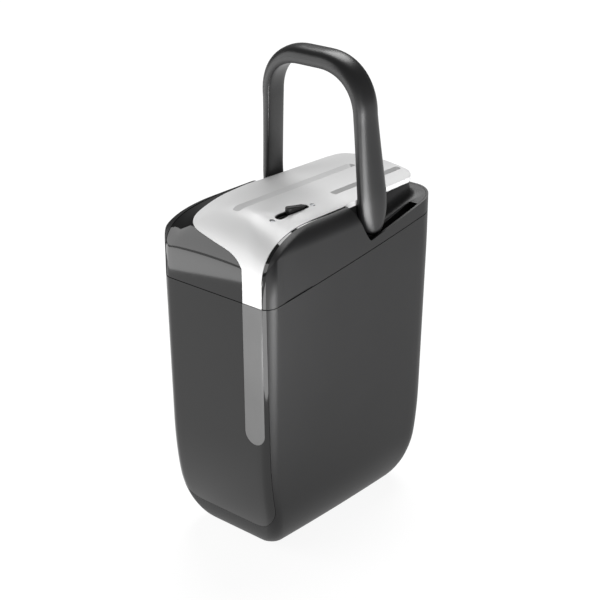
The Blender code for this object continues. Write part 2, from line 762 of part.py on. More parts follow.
def make_handle_pins():
    handle = make_handle()
    for side, sign in (("right", 1), ("left", -1)):
        bore_start = (70 if sign > 0 else -90, PIVOT_Y, PIVOT_Z)
        pin_start = (65.2 if sign > 0 else -89.0, PIVOT_Y, PIVOT_Z)
        head_start = (65.2 if sign > 0 else -68.7, PIVOT_Y, PIVOT_Z)
        cut(handle, rod(f"tool_leg_bore_{side}", PIVOT_PIN_R + 0.3, bore_start, 20, "x"))
        pin = rod(f"handle_pin_{side}", PIVOT_PIN_R, pin_start, 23.8, "x", "steel")
        join(pin, rod(f"tool_pin_head_{side}", 8.0, head_start, 3.5, "x"))
    set_origin(handle, (0, PIVOT_Y, PIVOT_Z))


def set_origin(item, point):
    """Put an object's origin on its joint's axis without moving its mesh."""
    place = Vector(point) * MM
    item.data.transform(Matrix.Translation(-place))
    item.location = place


# Mechanism

def gear_outline(teeth, module, phase_deg, centre):
    """Closed outline of a spur gear with trapezoid teeth that run with clearance."""
    pitch_r = teeth * module / 2
    tip_r = pitch_r + 0.75 * module
    root_r = pitch_r - 1.05 * module
    step = 2 * math.pi / teeth
    points = []
    for tooth in range(teeth):
        middle = math.radians(phase_deg) + tooth * step
        for offset, radius in ((-0.27, root_r), (-0.10, tip_r), (0.10, tip_r), (0.27, root_r)):
            angle = middle + offset * step
            points.append((centre[0] + radius * math.cos(angle), centre[1] + radius * math.sin(angle)))
    return points


def mesh_phase(own_centre, own_teeth, other_centre, other_teeth, other_phase):
    """Phase that puts a gap of this gear on a tooth of the other along their centre line."""
    to_own = math.degrees(math.atan2(own_centre[1] - other_centre[1], own_centre[0] - other_centre[0]))
    other_step = 360.0 / other_teeth
    shift = (to_own - other_phase) / other_step
    own_step = 360.0 / own_teeth
    return to_own + 180 + (shift + 0.5) * own_step


def cutter_shaft(name, x, z, first, start, end, journal_end, disc_starts, disc_t, disc_r, core_r):
    """Shaft with journals and cutting discs, all turned in one piece about a line along Y."""
    profile = [(0.0, first), (JOURNAL_R, first), (JOURNAL_R, start), (core_r, start)]
    for at in disc_starts:
        profile += [(core_r, at), (disc_r, at), (disc_r, at + disc_t), (core_r, at + disc_t)]
    profile += [(core_r, end), (JOURNAL_R, end), (JOURNAL_R, journal_end), (0.0, journal_end)]
    bm = bmesh.new()
    verts = [bm.verts.new(Vector((radius, y, 0)) * MM) for radius, y in profile]
    edges = [bm.edges.new(pair) for pair in zip(verts, verts[1:])]
    bmesh.ops.spin(bm, geom=verts + edges, cent=(0, 0, 0), axis=(0, 1, 0), angle=2 * math.pi,
                   steps=10, use_merge=True)
    bmesh.ops.remove_doubles(bm, verts=bm.verts, dist=1e-6)
    bmesh.ops.translate(bm, vec=Vector((x, 0, z)) * MM, verts=bm.verts)
    item = mesh_object(name, bm, "cutter_steel")
    set_origin(item, (x, 0, z))
    return item


def make_cutters():
    starts_a = [MAIN_FIRST_Y + MAIN_PITCH * i for i in range(MAIN_DISC_COUNT)]
    starts_b = [start + MAIN_PITCH / 2 for start in starts_a]
    core_end = PLATE_REAR_Y - 5.0
    journal = GEAR_LAYERS[0] + GEAR_T + 0.6
    for name, x, starts in (("cutter_shaft_left", SHAFT_A_X, starts_a),
                            ("cutter_shaft_right", SHAFT_B_X, starts_b)):
        cutter_shaft(name, x, SHAFT_Z, PLATE_FRONT_Y - 1, PLATE_FRONT_Y + 5, core_end, journal, starts,
                     MAIN_DISC_T, MAIN_DISC_R, MAIN_CORE_R)
    starts_c = [SMALL_FIRST_Y + 2 * MAIN_PITCH * i for i in range(3)]
    starts_d = [start + 10.0 for start in starts_c]
    for name, x, starts in (("disc_cutter_inner", DISC_SHAFT_C_X, starts_c),
                            ("disc_cutter_outer", DISC_SHAFT_D_X, starts_d)):
        cutter_shaft(name, x, DISC_SHAFT_Z, BRACKET_Y - 1, BRACKET_Y + 4, core_end, journal, starts,
                     6.0, SMALL_DISC_R, SMALL_CORE_R)


def gear(name, teeth, module, centre, phase, layer, bore, finish="gear_nylon"):
    item = prism(name, gear_outline(teeth, module, phase, centre), "y", layer, layer + GEAR_T, finish)
    cut(item, rod(f"tool_bore_{name}", bore, (centre[0], layer - 2, centre[1]), GEAR_T + 4, "y", sides=14))
    return item


def make_gears():
    """Train from the motor pinion through two stepped gears to all four cutter shafts."""
    left = (SHAFT_A_X, SHAFT_Z)
    right = (SHAFT_B_X, SHAFT_Z)
    inner = (DISC_SHAFT_C_X, DISC_SHAFT_Z)
    outer = (DISC_SHAFT_D_X, DISC_SHAFT_Z)
    slow = GEAR_MODULE
    first, second, third = GEAR_LAYERS
    shaft_bore = JOURNAL_R + 0.3

    phase_left = 9.0
    phase_right = mesh_phase(right, MAIN_TEETH, left, MAIN_TEETH, phase_left)
    phase_inner = mesh_phase(inner, SMALL_TEETH, right, MAIN_TEETH, phase_right)
    phase_outer = mesh_phase(outer, SMALL_TEETH, inner, SMALL_TEETH, phase_inner)
    gear("cutter_gear_left", MAIN_TEETH, slow, left, phase_left, first, shaft_bore)
    gear("cutter_gear_right", MAIN_TEETH, slow, right, phase_right, first, shaft_bore)
    gear("disc_gear_inner", SMALL_TEETH, slow, inner, phase_inner, first, shaft_bore)
    gear("disc_gear_outer", SMALL_TEETH, slow, outer, phase_outer, first, shaft_bore)

    stud_1, stud_2 = stud_places()
    phase_small_2 = mesh_phase(stud_2, STEP_TEETH, left, MAIN_TEETH, phase_left)
    phase_small_1 = mesh_phase(stud_1, STEP_TEETH, stud_2, WHEEL_2_TEETH, 0.0)
    phase_pinion = mesh_phase(MOTOR_AXIS, PINION_TEETH, stud_1, WHEEL_1_TEETH, 0.0)
    steps = (("reduction_gear_1", stud_1, WHEEL_1_TEETH, FAST_MODULE, third, phase_small_1, second),
             ("reduction_gear_2", stud_2, WHEEL_2_TEETH, slow, second, phase_small_2, first))
    for name, centre, wheel_teeth, module, wheel_at, phase, step_at in steps:
        wheel = prism(name, gear_outline(wheel_teeth, module, 0.0, centre), "y", wheel_at,
                      wheel_at + GEAR_T, "gear_nylon")
        join(wheel, prism(f"tool_step_{name}", gear_outline(STEP_TEETH, slow, phase, centre), "y",
                          step_at, step_at + GEAR_T + 1.4))
        cut(wheel, rod(f"tool_bore_{name}", STUD_R + 0.3, (centre[0], step_at - 2, centre[1]), 14, "y",
                       sides=14))
        set_origin(wheel, (centre[0], 0, centre[1]))
        stud = rod(f"gear_stud_{name[-1]}", STUD_R, (centre[0], PLATE_REAR_Y - 2.4, centre[1]),
                   wheel_at + GEAR_T - PLATE_REAR_Y + 2.6, "y", "steel", 14)
        join(stud, rod(f"tool_stud_head_{name[-1]}", 4.5, (centre[0], PLATE_REAR_Y - 3, centre[1]), 2.7, "y",
                       sides=14))
    gear("motor_pinion", PINION_TEETH, FAST_MODULE, MOTOR_AXIS, phase_pinion, third, MOTOR_SHAFT_R + 0.3,
         "brass")


def stud_places():
    """Centres of the two stepped gears, each at its meshing distance from its neighbours."""
    fast_gap = (WHEEL_1_TEETH + PINION_TEETH) * FAST_MODULE / 2
    turn = math.atan2(25.3, 12.0)
    stud_1 = Vector(MOTOR_AXIS) + Vector((math.cos(turn), math.sin(turn))) * fast_gap
    to_left = (STEP_TEETH + MAIN_TEETH) * GEAR_MODULE / 2
    to_first = (STEP_TEETH + WHEEL_2_TEETH) * GEAR_MODULE / 2
    left = Vector((SHAFT_A_X, SHAFT_Z))
    apart = stud_1 - left
    span = apart.length
    along = (to_left ** 2 - to_first ** 2 + span ** 2) / (2 * span)
    rise = math.sqrt(to_left ** 2 - along ** 2)
    unit = apart / span
    stud_2 = left + unit * along + Vector((unit.y, -unit.x)) * rise
    if stud_2.y < left.y:
        stud_2 = left + unit * along - Vector((unit.y, -unit.x)) * rise
    return tuple(stud_1), tuple(stud_2)


def bearing_block(name, centres, y):
    """Carrier behind or before a plate with a bored boss through the plate for each journal."""
    xs = [x for x, _ in centres]
    zs = [z for _, z in centres]
    low = (min(xs) - 10, y - 4.2, min(zs) - 10)
    high = (max(xs) + 10, y - 0.3, max(zs) + 10)
    item = bevelled_box(name, low, high, 1.0, "gear_nylon", 1)
    for x, z in centres:
        join(item, rod(f"tool_boss_{name}_{x}", BUSH_R, (x, y - 1, z), PLATE_T + 1.6, "y", sides=16))
    for x, z in centres:
        cut(item, rod(f"tool_{name}_{x}", JOURNAL_R + 0.3, (x, y - 6, z), PLATE_T + 8, "y", sides=16))


def make_frame():
    """Steel plates at both ends of the shafts, a bracket for the short shafts, bushes and rods."""
    low = 349.0
    stud_1, stud_2 = stud_places()
    front = prism("frame_plate_front", [(-50, low), (82, low), (82, 390), (46, 402), (36, 412),
                                        (-40, 425), (-50, 415)],
                  "y", PLATE_FRONT_Y, PLATE_FRONT_Y + PLATE_T, "steel")
    rear = prism("frame_plate_rear", [(-84, low), (80, low), (80, 394), (32, 396), (24, 424), (-60, 424),
                                      (-70, 393), (-84, 392)],
                 "y", PLATE_REAR_Y, PLATE_REAR_Y + PLATE_T, "steel")
    bracket = prism("disc_cutter_bracket", [(30, low), (80, low), (80, 393), (30, 396)],
                    "y", BRACKET_Y, BRACKET_Y + PLATE_T, "steel")
    main_pair = ((SHAFT_A_X, SHAFT_Z), (SHAFT_B_X, SHAFT_Z))
    disc_pair = ((DISC_SHAFT_C_X, DISC_SHAFT_Z), (DISC_SHAFT_D_X, DISC_SHAFT_Z))
    seats = (("bearing_block_front", front, PLATE_FRONT_Y, main_pair),
             ("bearing_block_bracket", bracket, BRACKET_Y, disc_pair),
             ("bearing_block_rear", rear, PLATE_REAR_Y, main_pair + disc_pair))
    for name, plate, y, centres in seats:
        for x, z in centres:
            cut(plate, rod(f"tool_seat_{name}_{x}", BUSH_R + 0.3, (x, y - 5, z), 12, "y", sides=16))
        bearing_block(name, centres, y)
    for name, (x, z) in (("1", stud_1), ("2", stud_2)):
        cut(rear, rod(f"tool_stud_hole_{name}", STUD_R + 0.3, (x, PLATE_REAR_Y - 5, z), 12, "y", sides=14))
    pass_start = (MOTOR_AXIS[0], PLATE_REAR_Y - 5, MOTOR_AXIS[1])
    cut(rear, rod("tool_motor_pass", 6.0, pass_start, 12, "y", sides=16))
    length = PLATE_REAR_Y - PLATE_FRONT_Y - PLATE_T - 0.6
    cut(bracket, rod("tool_tie_rod_pass", 3.9, (76, BRACKET_Y - 5, 384), 12, "y", sides=12))
    for name, (x, z) in (("left", (-38, 355)), ("right", (76, 384))):
        rod(f"tie_rod_{name}", 3.5, (x, PLATE_FRONT_Y + PLATE_T + 0.3, z), length, "y", "steel", 12)


def comb_outline(back, bar, tip, start, end, gaps, finger):
    """Plan outline of a stripper comb: a bar with a finger into each gap between the discs."""
    points = [(back, start), (bar, start)]
    for middle in gaps:
        points += [(bar, middle - finger / 2), (tip, middle - finger / 2),
                   (tip, middle + finger / 2), (bar, middle + finger / 2)]
    return points + [(bar, end), (back, end)]


def make_combs():
    gaps_left = [MAIN_FIRST_Y + MAIN_PITCH * i + MAIN_DISC_T + 5.0 for i in range(MAIN_DISC_COUNT)]
    gaps_right = [gap + MAIN_PITCH / 2 for gap in gaps_left[:5]]
    prism("stripper_comb_left", comb_outline(-43, -38, SHAFT_A_X - MAIN_CORE_R - 1.5, -122.5, 129,
                                             gaps_left, 6.0), "z", 386, 390, "steel")
    prism("stripper_comb_right", comb_outline(39, 34, SHAFT_B_X + MAIN_CORE_R + 1.5, -122.5, -12,
                                              gaps_right, 6.0), "z", 386, 390, "steel")


def make_motor():
    x, z = MOTOR_AXIS
    can = rod("motor", MOTOR_R, (x, 46, z), PLATE_REAR_Y - 46.5, "y", "steel", 28)
    cut(can, rod("tool_motor_bore", MOTOR_SHAFT_R + 0.4, (x, 112, z), 40, "y", sides=14))
    shaft = rod("motor_shaft", MOTOR_SHAFT_R, (x, 114, z), GEAR_LAYERS[2] + GEAR_T - 113.6, "y", "steel", 14)
    set_origin(shaft, (x, 0, z))


def make_guides():
    guide = box("paper_guide", (PAPER_X - 5, -123.1, 408.5), (PAPER_X + 5, PAPER_END + 1.6, 453.8),
                "inner_black")
    cut(guide, box("tool_paper_throat", (PAPER_X - 3.2, PAPER_START + 0.2, 400),
                   (PAPER_X + 3.2, PAPER_END - 0.2, 470)))
    cut(guide, box("tool_lever_window", (PAPER_X - 12, -14, 417), (PAPER_X + 12, -4, 438)))
    disc_guide = box("disc_guide", (DISC_X - 4.2, DISC_START - 1.6, 399),
                     (DISC_X + 4.2, DISC_END + 1.6, 452.6), "inner_black")
    cut(disc_guide, box("tool_disc_throat", (DISC_X - 2.6, DISC_START + 0.2, 390),
                        (DISC_X + 2.6, DISC_END - 0.2, 470)))
    lever = rod("paper_sensor_lever", 2.4, (LEVER_X, -11.5, LEVER_Z), 5, "y", "inner_black", 14)
    arm = prism("tool_lever_arm", [(LEVER_X - 1.0, LEVER_Z + 2.2), (LEVER_X - 12.0, LEVER_Z - 10.5),
                                   (LEVER_X - 10.6, LEVER_Z - 11.6), (LEVER_X + 1.0, LEVER_Z - 2.0)],
                "y", -10.6, -7.4)
    join(lever, arm)
    cut(lever, rod("tool_lever_bore", 1.3, (LEVER_X, -14, LEVER_Z), 10, "y", sides=12))
    set_origin(lever, (LEVER_X, 0, LEVER_Z))
    ear = box("tool_lever_ear", (PAPER_X + 4, -15.5, LEVER_Z - 3.5), (LEVER_X + 2, -13.8, LEVER_Z + 3))
    join(guide, ear, rod("tool_lever_pin", 1.0, (LEVER_X, -14.5, LEVER_Z), 8.5, "y", sides=12))
    bevelled_box("start_switch", (LEVER_X + 3.2, -13, 427), (LEVER_X + 9.2, -5, 440), 0.5, "inner_black", 1)


def make_controls():
    """Slide knob, the switch under it, the board and the inlet."""
    side_view = [(KNOB_START, 457.4), (KNOB_START, 461.8), (KNOB_START + 2, 463.6), (KNOB_START + 12, 463.6),
                 (KNOB_START + 18, 462.2), (KNOB_END - 2, 459.4), (KNOB_END, 458.6), (KNOB_END, 457.4)]
    knob = prism("mode_slider", side_view, "x", SLIDER_X - 4.7, SLIDER_X + 4.7, "inner_black")
    keep(knob, slot_tool("tool_knob_plan", SLIDER_X, KNOB_START, KNOB_END, 9.4, 440, 480))
    join(knob, slot_tool("tool_knob_base", SLIDER_X, KNOB_START + 1.5, KNOB_END - 1.5, 7.4, 453.6, 458.0))
    join(knob, box("tool_knob_stem", (SLIDER_X - 1.2, KNOB_START + 12, 447.4),
                   (SLIDER_X + 1.2, KNOB_START + 22, 454)))
    bevelled_box("mode_switch", (SLIDER_X - 7, -104, 437), (SLIDER_X + 7, -56, 447), 0.8, "inner_black", 1)
    bevelled_box("control_board", (-66, -62, 438), (-16, 28, 439.6), 0.2, "board_green", 1)

    inlet = bevelled_box("power_inlet", (-36.1, 153, 412.2), (-19.9, 169.4, 422.6), 0.6, "inner_black", 1)
    cut(inlet, slot_shape_y("tool_inlet_recess", (-32.0, -24.0), 417.4, 3.2, 158, 175))
    for x in (-31.4, -24.6):
        join(inlet, rod(f"tool_inlet_pin_{x}", 1.1, (x, 157, 417.4), 10, "y", sides=10))


def slot_shape_y(name, centres, z, radius, start, end):
    """Flat slot with round ends, its opening facing +Y."""
    outline = arc((centres[1], z), radius, -90, 90, 6) + arc((centres[0], z), radius, 90, 270, 6)
    return prism(name, outline, "y", start, end)


def make_interlock():
    x, y = PLUNGER_X, PLUNGER_Y
    plunger = rod("interlock_plunger", 3.0, (x, y, 338.4), 28, "z", "inner_black", 16)
    join(plunger, rod("tool_plunger_collar", 5.2, (x, y, 348.8), 2.0, "z", sides=16))
    set_origin(plunger, (x, y, 350))
    bracket = box("interlock_bracket", (x - 8, y - 6, 348.8), (x - 6.4, y + 6, 376), "steel")
    join(bracket, box("tool_bracket_shelf", (x - 7, y - 6, 362), (x + 6, y + 6, 363.4)))
    cut(bracket, rod("tool_bracket_hole", 3.4, (x, y, 355), 15, "z", sides=16))
    bevelled_box("interlock_switch", (x - 6.1, y - 5, 371), (x + 6, y + 5, 379), 0.5, "inner_black", 1)

    spring_wire("interlock_spring", (x, y), 4.4, 351.6, 361.2)


def spring_wire(name, centre, radius, low, high):
    """Compression spring: a wire of six sides swept along a helix."""
    turns, per_turn, wire_r = 4, 8, 0.45
    rings = []
    for i in range(turns * per_turn + 1):
        angle = 2 * math.pi * i / per_turn
        out = Vector((math.cos(angle), math.sin(angle), 0))
        middle = Vector((*centre, low + (high - low) * i / (turns * per_turn))) + out * radius
        rings.append([middle + out * dx + Vector((0, 0, dz)) for dx, dz in arc((0, 0), wire_r, 0, 300, 5)])
    return loft(name, rings, "steel")


def main():
    global parts, tools
    clear_scene()
    parts = new_collection("Paper shredder")
    tools = new_collection("Cutting tools")
    make_bin()
    make_top()
    make_side_covers()
    make_deck()
    make_head_base()
    make_handle_pins()
    make_cutters()
    make_gears()
    make_frame()
    make_combs()
    make_motor()
    make_guides()
    make_controls()
    make_interlock()


main()
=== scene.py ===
import json
import math

import bmesh
import bpy
from mathutils import Matrix, Vector
from mathutils.bvhtree import BVHTree
from mathutils.interpolate import poly_3d_calc


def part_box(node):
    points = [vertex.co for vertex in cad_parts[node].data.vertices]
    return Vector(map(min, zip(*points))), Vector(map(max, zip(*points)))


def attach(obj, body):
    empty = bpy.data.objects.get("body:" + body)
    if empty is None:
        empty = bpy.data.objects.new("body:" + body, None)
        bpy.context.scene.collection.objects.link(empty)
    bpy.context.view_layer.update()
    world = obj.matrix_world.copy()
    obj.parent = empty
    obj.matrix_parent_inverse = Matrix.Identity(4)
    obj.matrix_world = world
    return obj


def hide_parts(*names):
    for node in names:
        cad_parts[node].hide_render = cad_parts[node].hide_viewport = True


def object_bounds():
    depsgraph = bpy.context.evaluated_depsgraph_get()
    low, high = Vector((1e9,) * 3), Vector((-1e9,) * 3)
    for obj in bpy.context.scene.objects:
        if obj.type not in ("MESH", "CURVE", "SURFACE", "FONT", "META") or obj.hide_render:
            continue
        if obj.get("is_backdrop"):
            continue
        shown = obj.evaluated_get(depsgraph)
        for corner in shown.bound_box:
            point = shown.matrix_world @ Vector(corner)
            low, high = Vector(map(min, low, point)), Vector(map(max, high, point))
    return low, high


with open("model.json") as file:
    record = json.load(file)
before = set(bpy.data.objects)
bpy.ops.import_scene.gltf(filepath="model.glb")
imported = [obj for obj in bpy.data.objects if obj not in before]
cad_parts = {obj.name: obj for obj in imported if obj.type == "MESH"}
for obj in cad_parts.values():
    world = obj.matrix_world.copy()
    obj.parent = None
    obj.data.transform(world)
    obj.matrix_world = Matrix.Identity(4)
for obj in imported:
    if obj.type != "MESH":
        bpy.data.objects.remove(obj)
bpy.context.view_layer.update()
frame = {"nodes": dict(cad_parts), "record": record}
print("frame loaded:", len(frame["nodes"]), "nodes")

mm = 0.001
tools = []

# Outer form of the body and head, in millimetres
form = {
    "halfWidth": 96.98, "halfLength": 170.48, "topZ": 459.98,
    "seamZ": 363.0, "seamSlope": 0.131, "binRim": -0.9 + 0.25, "headRim": 0.9 - 0.45,
    "frontCorner": 16.0, "cornerGrowth": 36.0, "rearCorner": 35.0, "sideBulge": 3.9,
    "sideTaper": 0.015, "frontTaper": 0.011, "rearTaper": 0.014,
    "sideFoot": (44.0, 76.0), "frontFoot": (44.0, 160.0), "rearFoot": (50.0, 140.0),
    "sideFillet": 24.0, "frontRoll": 62.0, "rearFillet": 8.0, "crown": 9.0,
    "standing": 2.0, "lowZ": 330.0, "joinZ": 375.0,
    "cornerSteps": 10, "sideSteps": 26, "endSteps": 18, "headRows": 15, "binRows": 34,
    "smallestCorner": 5.0, "crownReach": 30.0,
    "crownSteps": (0.92, 0.8, 0.65, 0.5, 0.35, 0.2, 0.08, 0.01),
}
strip = {
    "frontHalf": 80.0, "half": 76.0, "stepY": -4.0, "stepHalf": 74.0,
    "rearHalf": 69.6, "rearY": 151.0, "rearCorner": 20.0,
    "stops": (-185, -165, -150, -138, -125, -112, -100, -80, -60, -40, -25, -12, -9.5, -6.5, -4,
              20, 50, 80, 110),
}
walls = {"skin": 2.2, "wall": 3.0, "gap": 0.4, "skirt": 6.4}
shading = {"sharpAngle": 32, "reach": 0.04, "alignment": 0.98}
# How far the cutting shapes reach past the body
past = {"x": 150, "y": 200, "low": 300, "high": 480, "sky": 640}


# Mesh helpers

def settle(piece):  # turns live modifiers into the mesh itself
    graph = bpy.context.evaluated_depsgraph_get()
    made = bpy.data.meshes.new_from_object(piece.evaluated_get(graph))
    piece.modifiers.clear()
    piece.data = made
    return piece


def show(name, bm):
    mesh = bpy.data.meshes.new(name)
    bm.to_mesh(mesh)
    bm.free()
    item = bpy.data.objects.new(name, mesh)
    bpy.context.scene.collection.objects.link(item)
    return item


def asTool(item):
    item.hide_render = True
    tools.append(item)
    return item


def shape(piece, operation, *others):
    for other in others:
        step = piece.modifiers.new("shape", "BOOLEAN")
        step.operation, step.solver, step.object = operation, "EXACT", other
    return settle(piece)


def cut(piece, *others):
    return shape(piece, "DIFFERENCE", *others)


def keep(piece, *others):
    return shape(piece, "INTERSECT", *others)


def join(piece, *others):
    return shape(piece, "UNION", *others)


def wrap(name, rings):  # a grid wrapped round into a closed form, one row of it on each ring
    across = len(rings[0])
    bm = bmesh.new()
    bmesh.ops.create_grid(bm, x_segments=across, y_segments=len(rings) - 1, size=1.0)
    bm.verts.ensure_lookup_table()
    for row, ring in enumerate(rings):
        for column in range(across + 1):
            bm.verts[row * (across + 1) + column].co = Vector(ring[column % across]) * mm
    bmesh.ops.remove_doubles(bm, verts=bm.verts, dist=1e-6)
    bmesh.ops.holes_fill(bm, edges=[edge for edge in bm.edges if edge.is_boundary])
    bmesh.ops.triangulate(bm, faces=bm.faces)
    bmesh.ops.recalc_face_normals(bm, faces=bm.faces)
    return show(name, bm)


def block(name, outline, axis, low, high):  # an outline pushed through along one axis
    place = {
        "x": lambda p: (low, p[0], p[1]),
        "y": lambda p: (p[0], low, p[1]),
        "z": lambda p: (p[0], p[1], low),
    }[axis]
    along = {"x": (1, 0, 0), "y": (0, 1, 0), "z": (0, 0, 1)}[axis]
    bm = bmesh.new()
    bmesh.ops.create_circle(bm, cap_ends=True, segments=len(outline), radius=1.0)
    bm.verts.ensure_lookup_table()
    for vert, point in zip(bm.verts, outline):
        vert.co = Vector(place(point)) * mm
    raised = bmesh.ops.extrude_face_region(bm, geom=bm.faces[:])["geom"]
    corners = [item for item in raised if isinstance(item, bmesh.types.BMVert)]
    bmesh.ops.translate(bm, vec=Vector(along) * (high - low) * mm, verts=corners)
    bmesh.ops.recalc_face_normals(bm, faces=bm.faces)
    return show(name, bm)


def brick(name, low, high):
    outline = [(low[0], low[1]), (high[0], low[1]), (high[0], high[1]), (low[0], high[1])]
    return block(name, outline, "z", low[2], high[2])


def peg(name, radius, start, length, axis, sides=32):
    turn = {"x": Matrix.Rotation(math.pi / 2, 4, "Y"), "z": Matrix.Identity(4)}[axis]
    bm = bmesh.new()
    bmesh.ops.create_cone(bm, cap_ends=True, segments=sides, radius1=radius * mm,
                          radius2=radius * mm, depth=length * mm)
    bmesh.ops.translate(bm, vec=(0, 0, length / 2 * mm), verts=bm.verts)
    bmesh.ops.transform(bm, matrix=turn, verts=bm.verts)
    bmesh.ops.translate(bm, vec=Vector(start) * mm, verts=bm.verts)
    return show(name, bm)


def turned(name, profile, centre, sides):  # profile points are (radius, height)
    bm = bmesh.new()
    verts = [bm.verts.new(Vector((radius, 0, height)) * mm) for radius, height in profile]
    edges = [bm.edges.new(pair) for pair in zip(verts, verts[1:])]
    bmesh.ops.spin(bm, geom=verts + edges, cent=(0, 0, 0), axis=(0, 0, 1), angle=2 * math.pi,
                   steps=sides, use_merge=True)
    bmesh.ops.remove_doubles(bm, verts=bm.verts, dist=1e-6)
    bmesh.ops.recalc_face_normals(bm, faces=bm.faces)
    bmesh.ops.translate(bm, vec=Vector(centre) * mm, verts=bm.verts)
    return show(name, bm)


def arcPoints(centre, radius, start, end, steps):
    points = []
    for i in range(steps + 1):
        angle = math.radians(start + (end - start) * i / steps)
        points.append((centre[0] + radius * math.cos(angle), centre[1] + radius * math.sin(angle)))
    return points


def smoothLine(anchors, steps):
    points = []
    padded = [anchors[0]] + list(anchors) + [anchors[-1]]
    for i in range(1, len(padded) - 2):
        before, start, end, after = (Vector(p) for p in padded[i - 1:i + 3])
        for k in range(steps):
            t = k / steps
            points.append(0.5 * (2 * start + (end - before) * t
                                 + (2 * before - 5 * start + 4 * end - after) * t * t
                                 + (3 * start - 3 * end + after - before) * t ** 3))
    points.append(Vector(anchors[-1]))
    return points


def blendTo(low, high, t):
    return low + (high - low) * t


def ease(t):
    t = min(1.0, max(0.0, t))
    return t * t * (3 - 2 * t)


# The outer form

def planOutline(half, front, rear, near, far):
    ring = []

    def corner(cx, cy, rx, ry, start):
        for i in range(form["cornerSteps"] + 1):
            turn = math.radians(start + 90 * i / form["cornerSteps"])
            ring.append((cx + rx * math.cos(turn), cy + ry * math.sin(turn), math.sin(turn) ** 2))

    def run(start, end, steps, share):
        for i in range(1, steps):
            t = i / steps
            ring.append((blendTo(start[0], end[0], t), blendTo(start[1], end[1], t), share))

    fx, fy = near
    rx, ry = far
    corner(half - rx, rear - ry, rx, ry, 0)
    run((half - rx, rear), (-half + rx, rear), form["endSteps"], 1.0)
    corner(-half + rx, rear - ry, rx, ry, 90)
    run((-half, rear - ry), (-half, front + fy), form["sideSteps"], 0.0)
    corner(-half + fx, front + fy, fx, fy, 180)
    run((-half + fx, front), (half - fx, front), form["endSteps"], 1.0)
    corner(half - fx, front + fy, fx, fy, 270)
    run((half, front + fy), (half, rear - ry), form["sideSteps"], 0.0)
    return ring


def bulged(x, y, half):
    spread = max(0.0, 1 - (y / form["halfLength"]) ** 2)
    return x * (1 + form["sideBulge"] / max(half, 40.0) * spread)


def footInset(height, foot):
    width, tall = foot
    if height >= tall:
        return 0.0
    return width * (1 - math.sqrt(1 - (1 - height / tall) ** 2))


def bodyRing(z, inset, frontInset=None, lift=0.0):
    frontInset = inset if frontInset is None else frontInset
    drop = max(0.0, form["seamZ"] - z)
    height = max(0.0, z - lift)
    half = (form["halfWidth"] - form["sideBulge"] - form["sideTaper"] * drop
            - footInset(height, form["sideFoot"]) - inset)
    front = -(form["halfLength"] - form["frontTaper"] * drop
              - footInset(height, form["frontFoot"]) - frontInset)
    rear = (form["halfLength"] - form["rearTaper"] * drop
            - footInset(height, form["rearFoot"]) - inset)
    near = max(form["frontCorner"] - inset, form["smallestCorner"])
    far = max(form["rearCorner"] - inset, form["smallestCorner"])
    outline = planOutline(half, front, rear, (near, near), (far, far))
    return [(bulged(x, y, half), y, z) for x, y, _ in outline]


def headRing(turn, inset):
    cosT, sinT = math.cos(math.radians(turn)), math.sin(math.radians(turn))
    sideR, rollR = form["sideFillet"] - inset, form["frontRoll"] - inset
    backR = form["rearFillet"] - min(inset, form["rearFillet"] - 1)
    half = form["halfWidth"] - form["sideBulge"] - form["sideFillet"] + sideR * cosT
    front = -form["halfLength"] + form["frontRoll"] - rollR * cosT
    rear = form["halfLength"] - form["rearFillet"] + backR * cosT
    sideZ = form["topZ"] - form["crown"] - form["sideFillet"] + sideR * sinT
    frontZ = form["topZ"] - form["frontRoll"] + rollR * sinT
    rearZ = form["topZ"] - form["rearFillet"] - 2 + backR * sinT
    near = max(form["frontCorner"] - inset, form["smallestCorner"])
    far = max(form["rearCorner"] - inset, form["smallestCorner"])
    points = []
    near += form["cornerGrowth"] * sinT
    for x, y, share in planOutline(half, front, rear, (near, near), (far, far)):
        endZ = frontZ if y < 0 else rearZ
        across = min(1.0, abs(x) / (form["halfWidth"] - form["sideFillet"]))
        z = blendTo(sideZ, endZ - form["crown"] * across ** 2 * sinT, share)
        points.append((bulged(x, y, half), y, z))
    return points


def crownRing(reach, inset):
    half = (form["halfWidth"] - form["sideBulge"] - form["sideFillet"]) * reach
    front = -form["halfLength"] + form["frontRoll"] + form["crownReach"] * (1 - reach)
    rear = form["halfLength"] - form["rearFillet"] - form["crownReach"] * (1 - reach)
    near = (form["frontCorner"] + form["cornerGrowth"]) * reach
    far = form["frontCorner"] * reach
    points = []
    for x, y, _ in planOutline(half, front, rear, (near, near), (far, far)):
        across = abs(x) / (form["halfWidth"] - form["sideFillet"])
        points.append((x, y, form["topZ"] - inset - form["crown"] * across ** 2))
    return points


def headForm(name, inset):
    rows = form["headRows"]
    rings = [bodyRing(z, inset) for z in (form["lowZ"], 345.0, 360.0, form["joinZ"])]
    rings += [headRing(90 * i / rows, inset) for i in range(rows + 1)]
    rings += [crownRing(reach, inset) for reach in form["crownSteps"]]
    return asTool(wrap(name, rings))


def binForm(name, inset, frontInset=None, floor=0.0):  # rings are closer together at the foot
    rings = []
    for i in range(form["binRows"] + 1):
        level = (440 - floor) * (i / form["binRows"]) ** 1.8
        rings.append(bodyRing(form["standing"] + floor + level, inset, frontInset, floor))
    return asTool(wrap(name, rings))


def stripHalf(y):  # half the strip's width, which steps in beside the slide switch
    if y < -100:
        return blendTo(strip["half"], strip["frontHalf"], min(1.0, (-100 - y) / 70))
    if y < -12:
        return strip["half"]
    if y < strip["stepY"]:
        return blendTo(strip["half"], strip["stepHalf"], ease((y + 12) / (strip["stepY"] + 12)))
    along = (y - strip["stepY"]) / (strip["rearY"] - strip["stepY"])
    return blendTo(strip["stepHalf"], strip["rearHalf"], along)


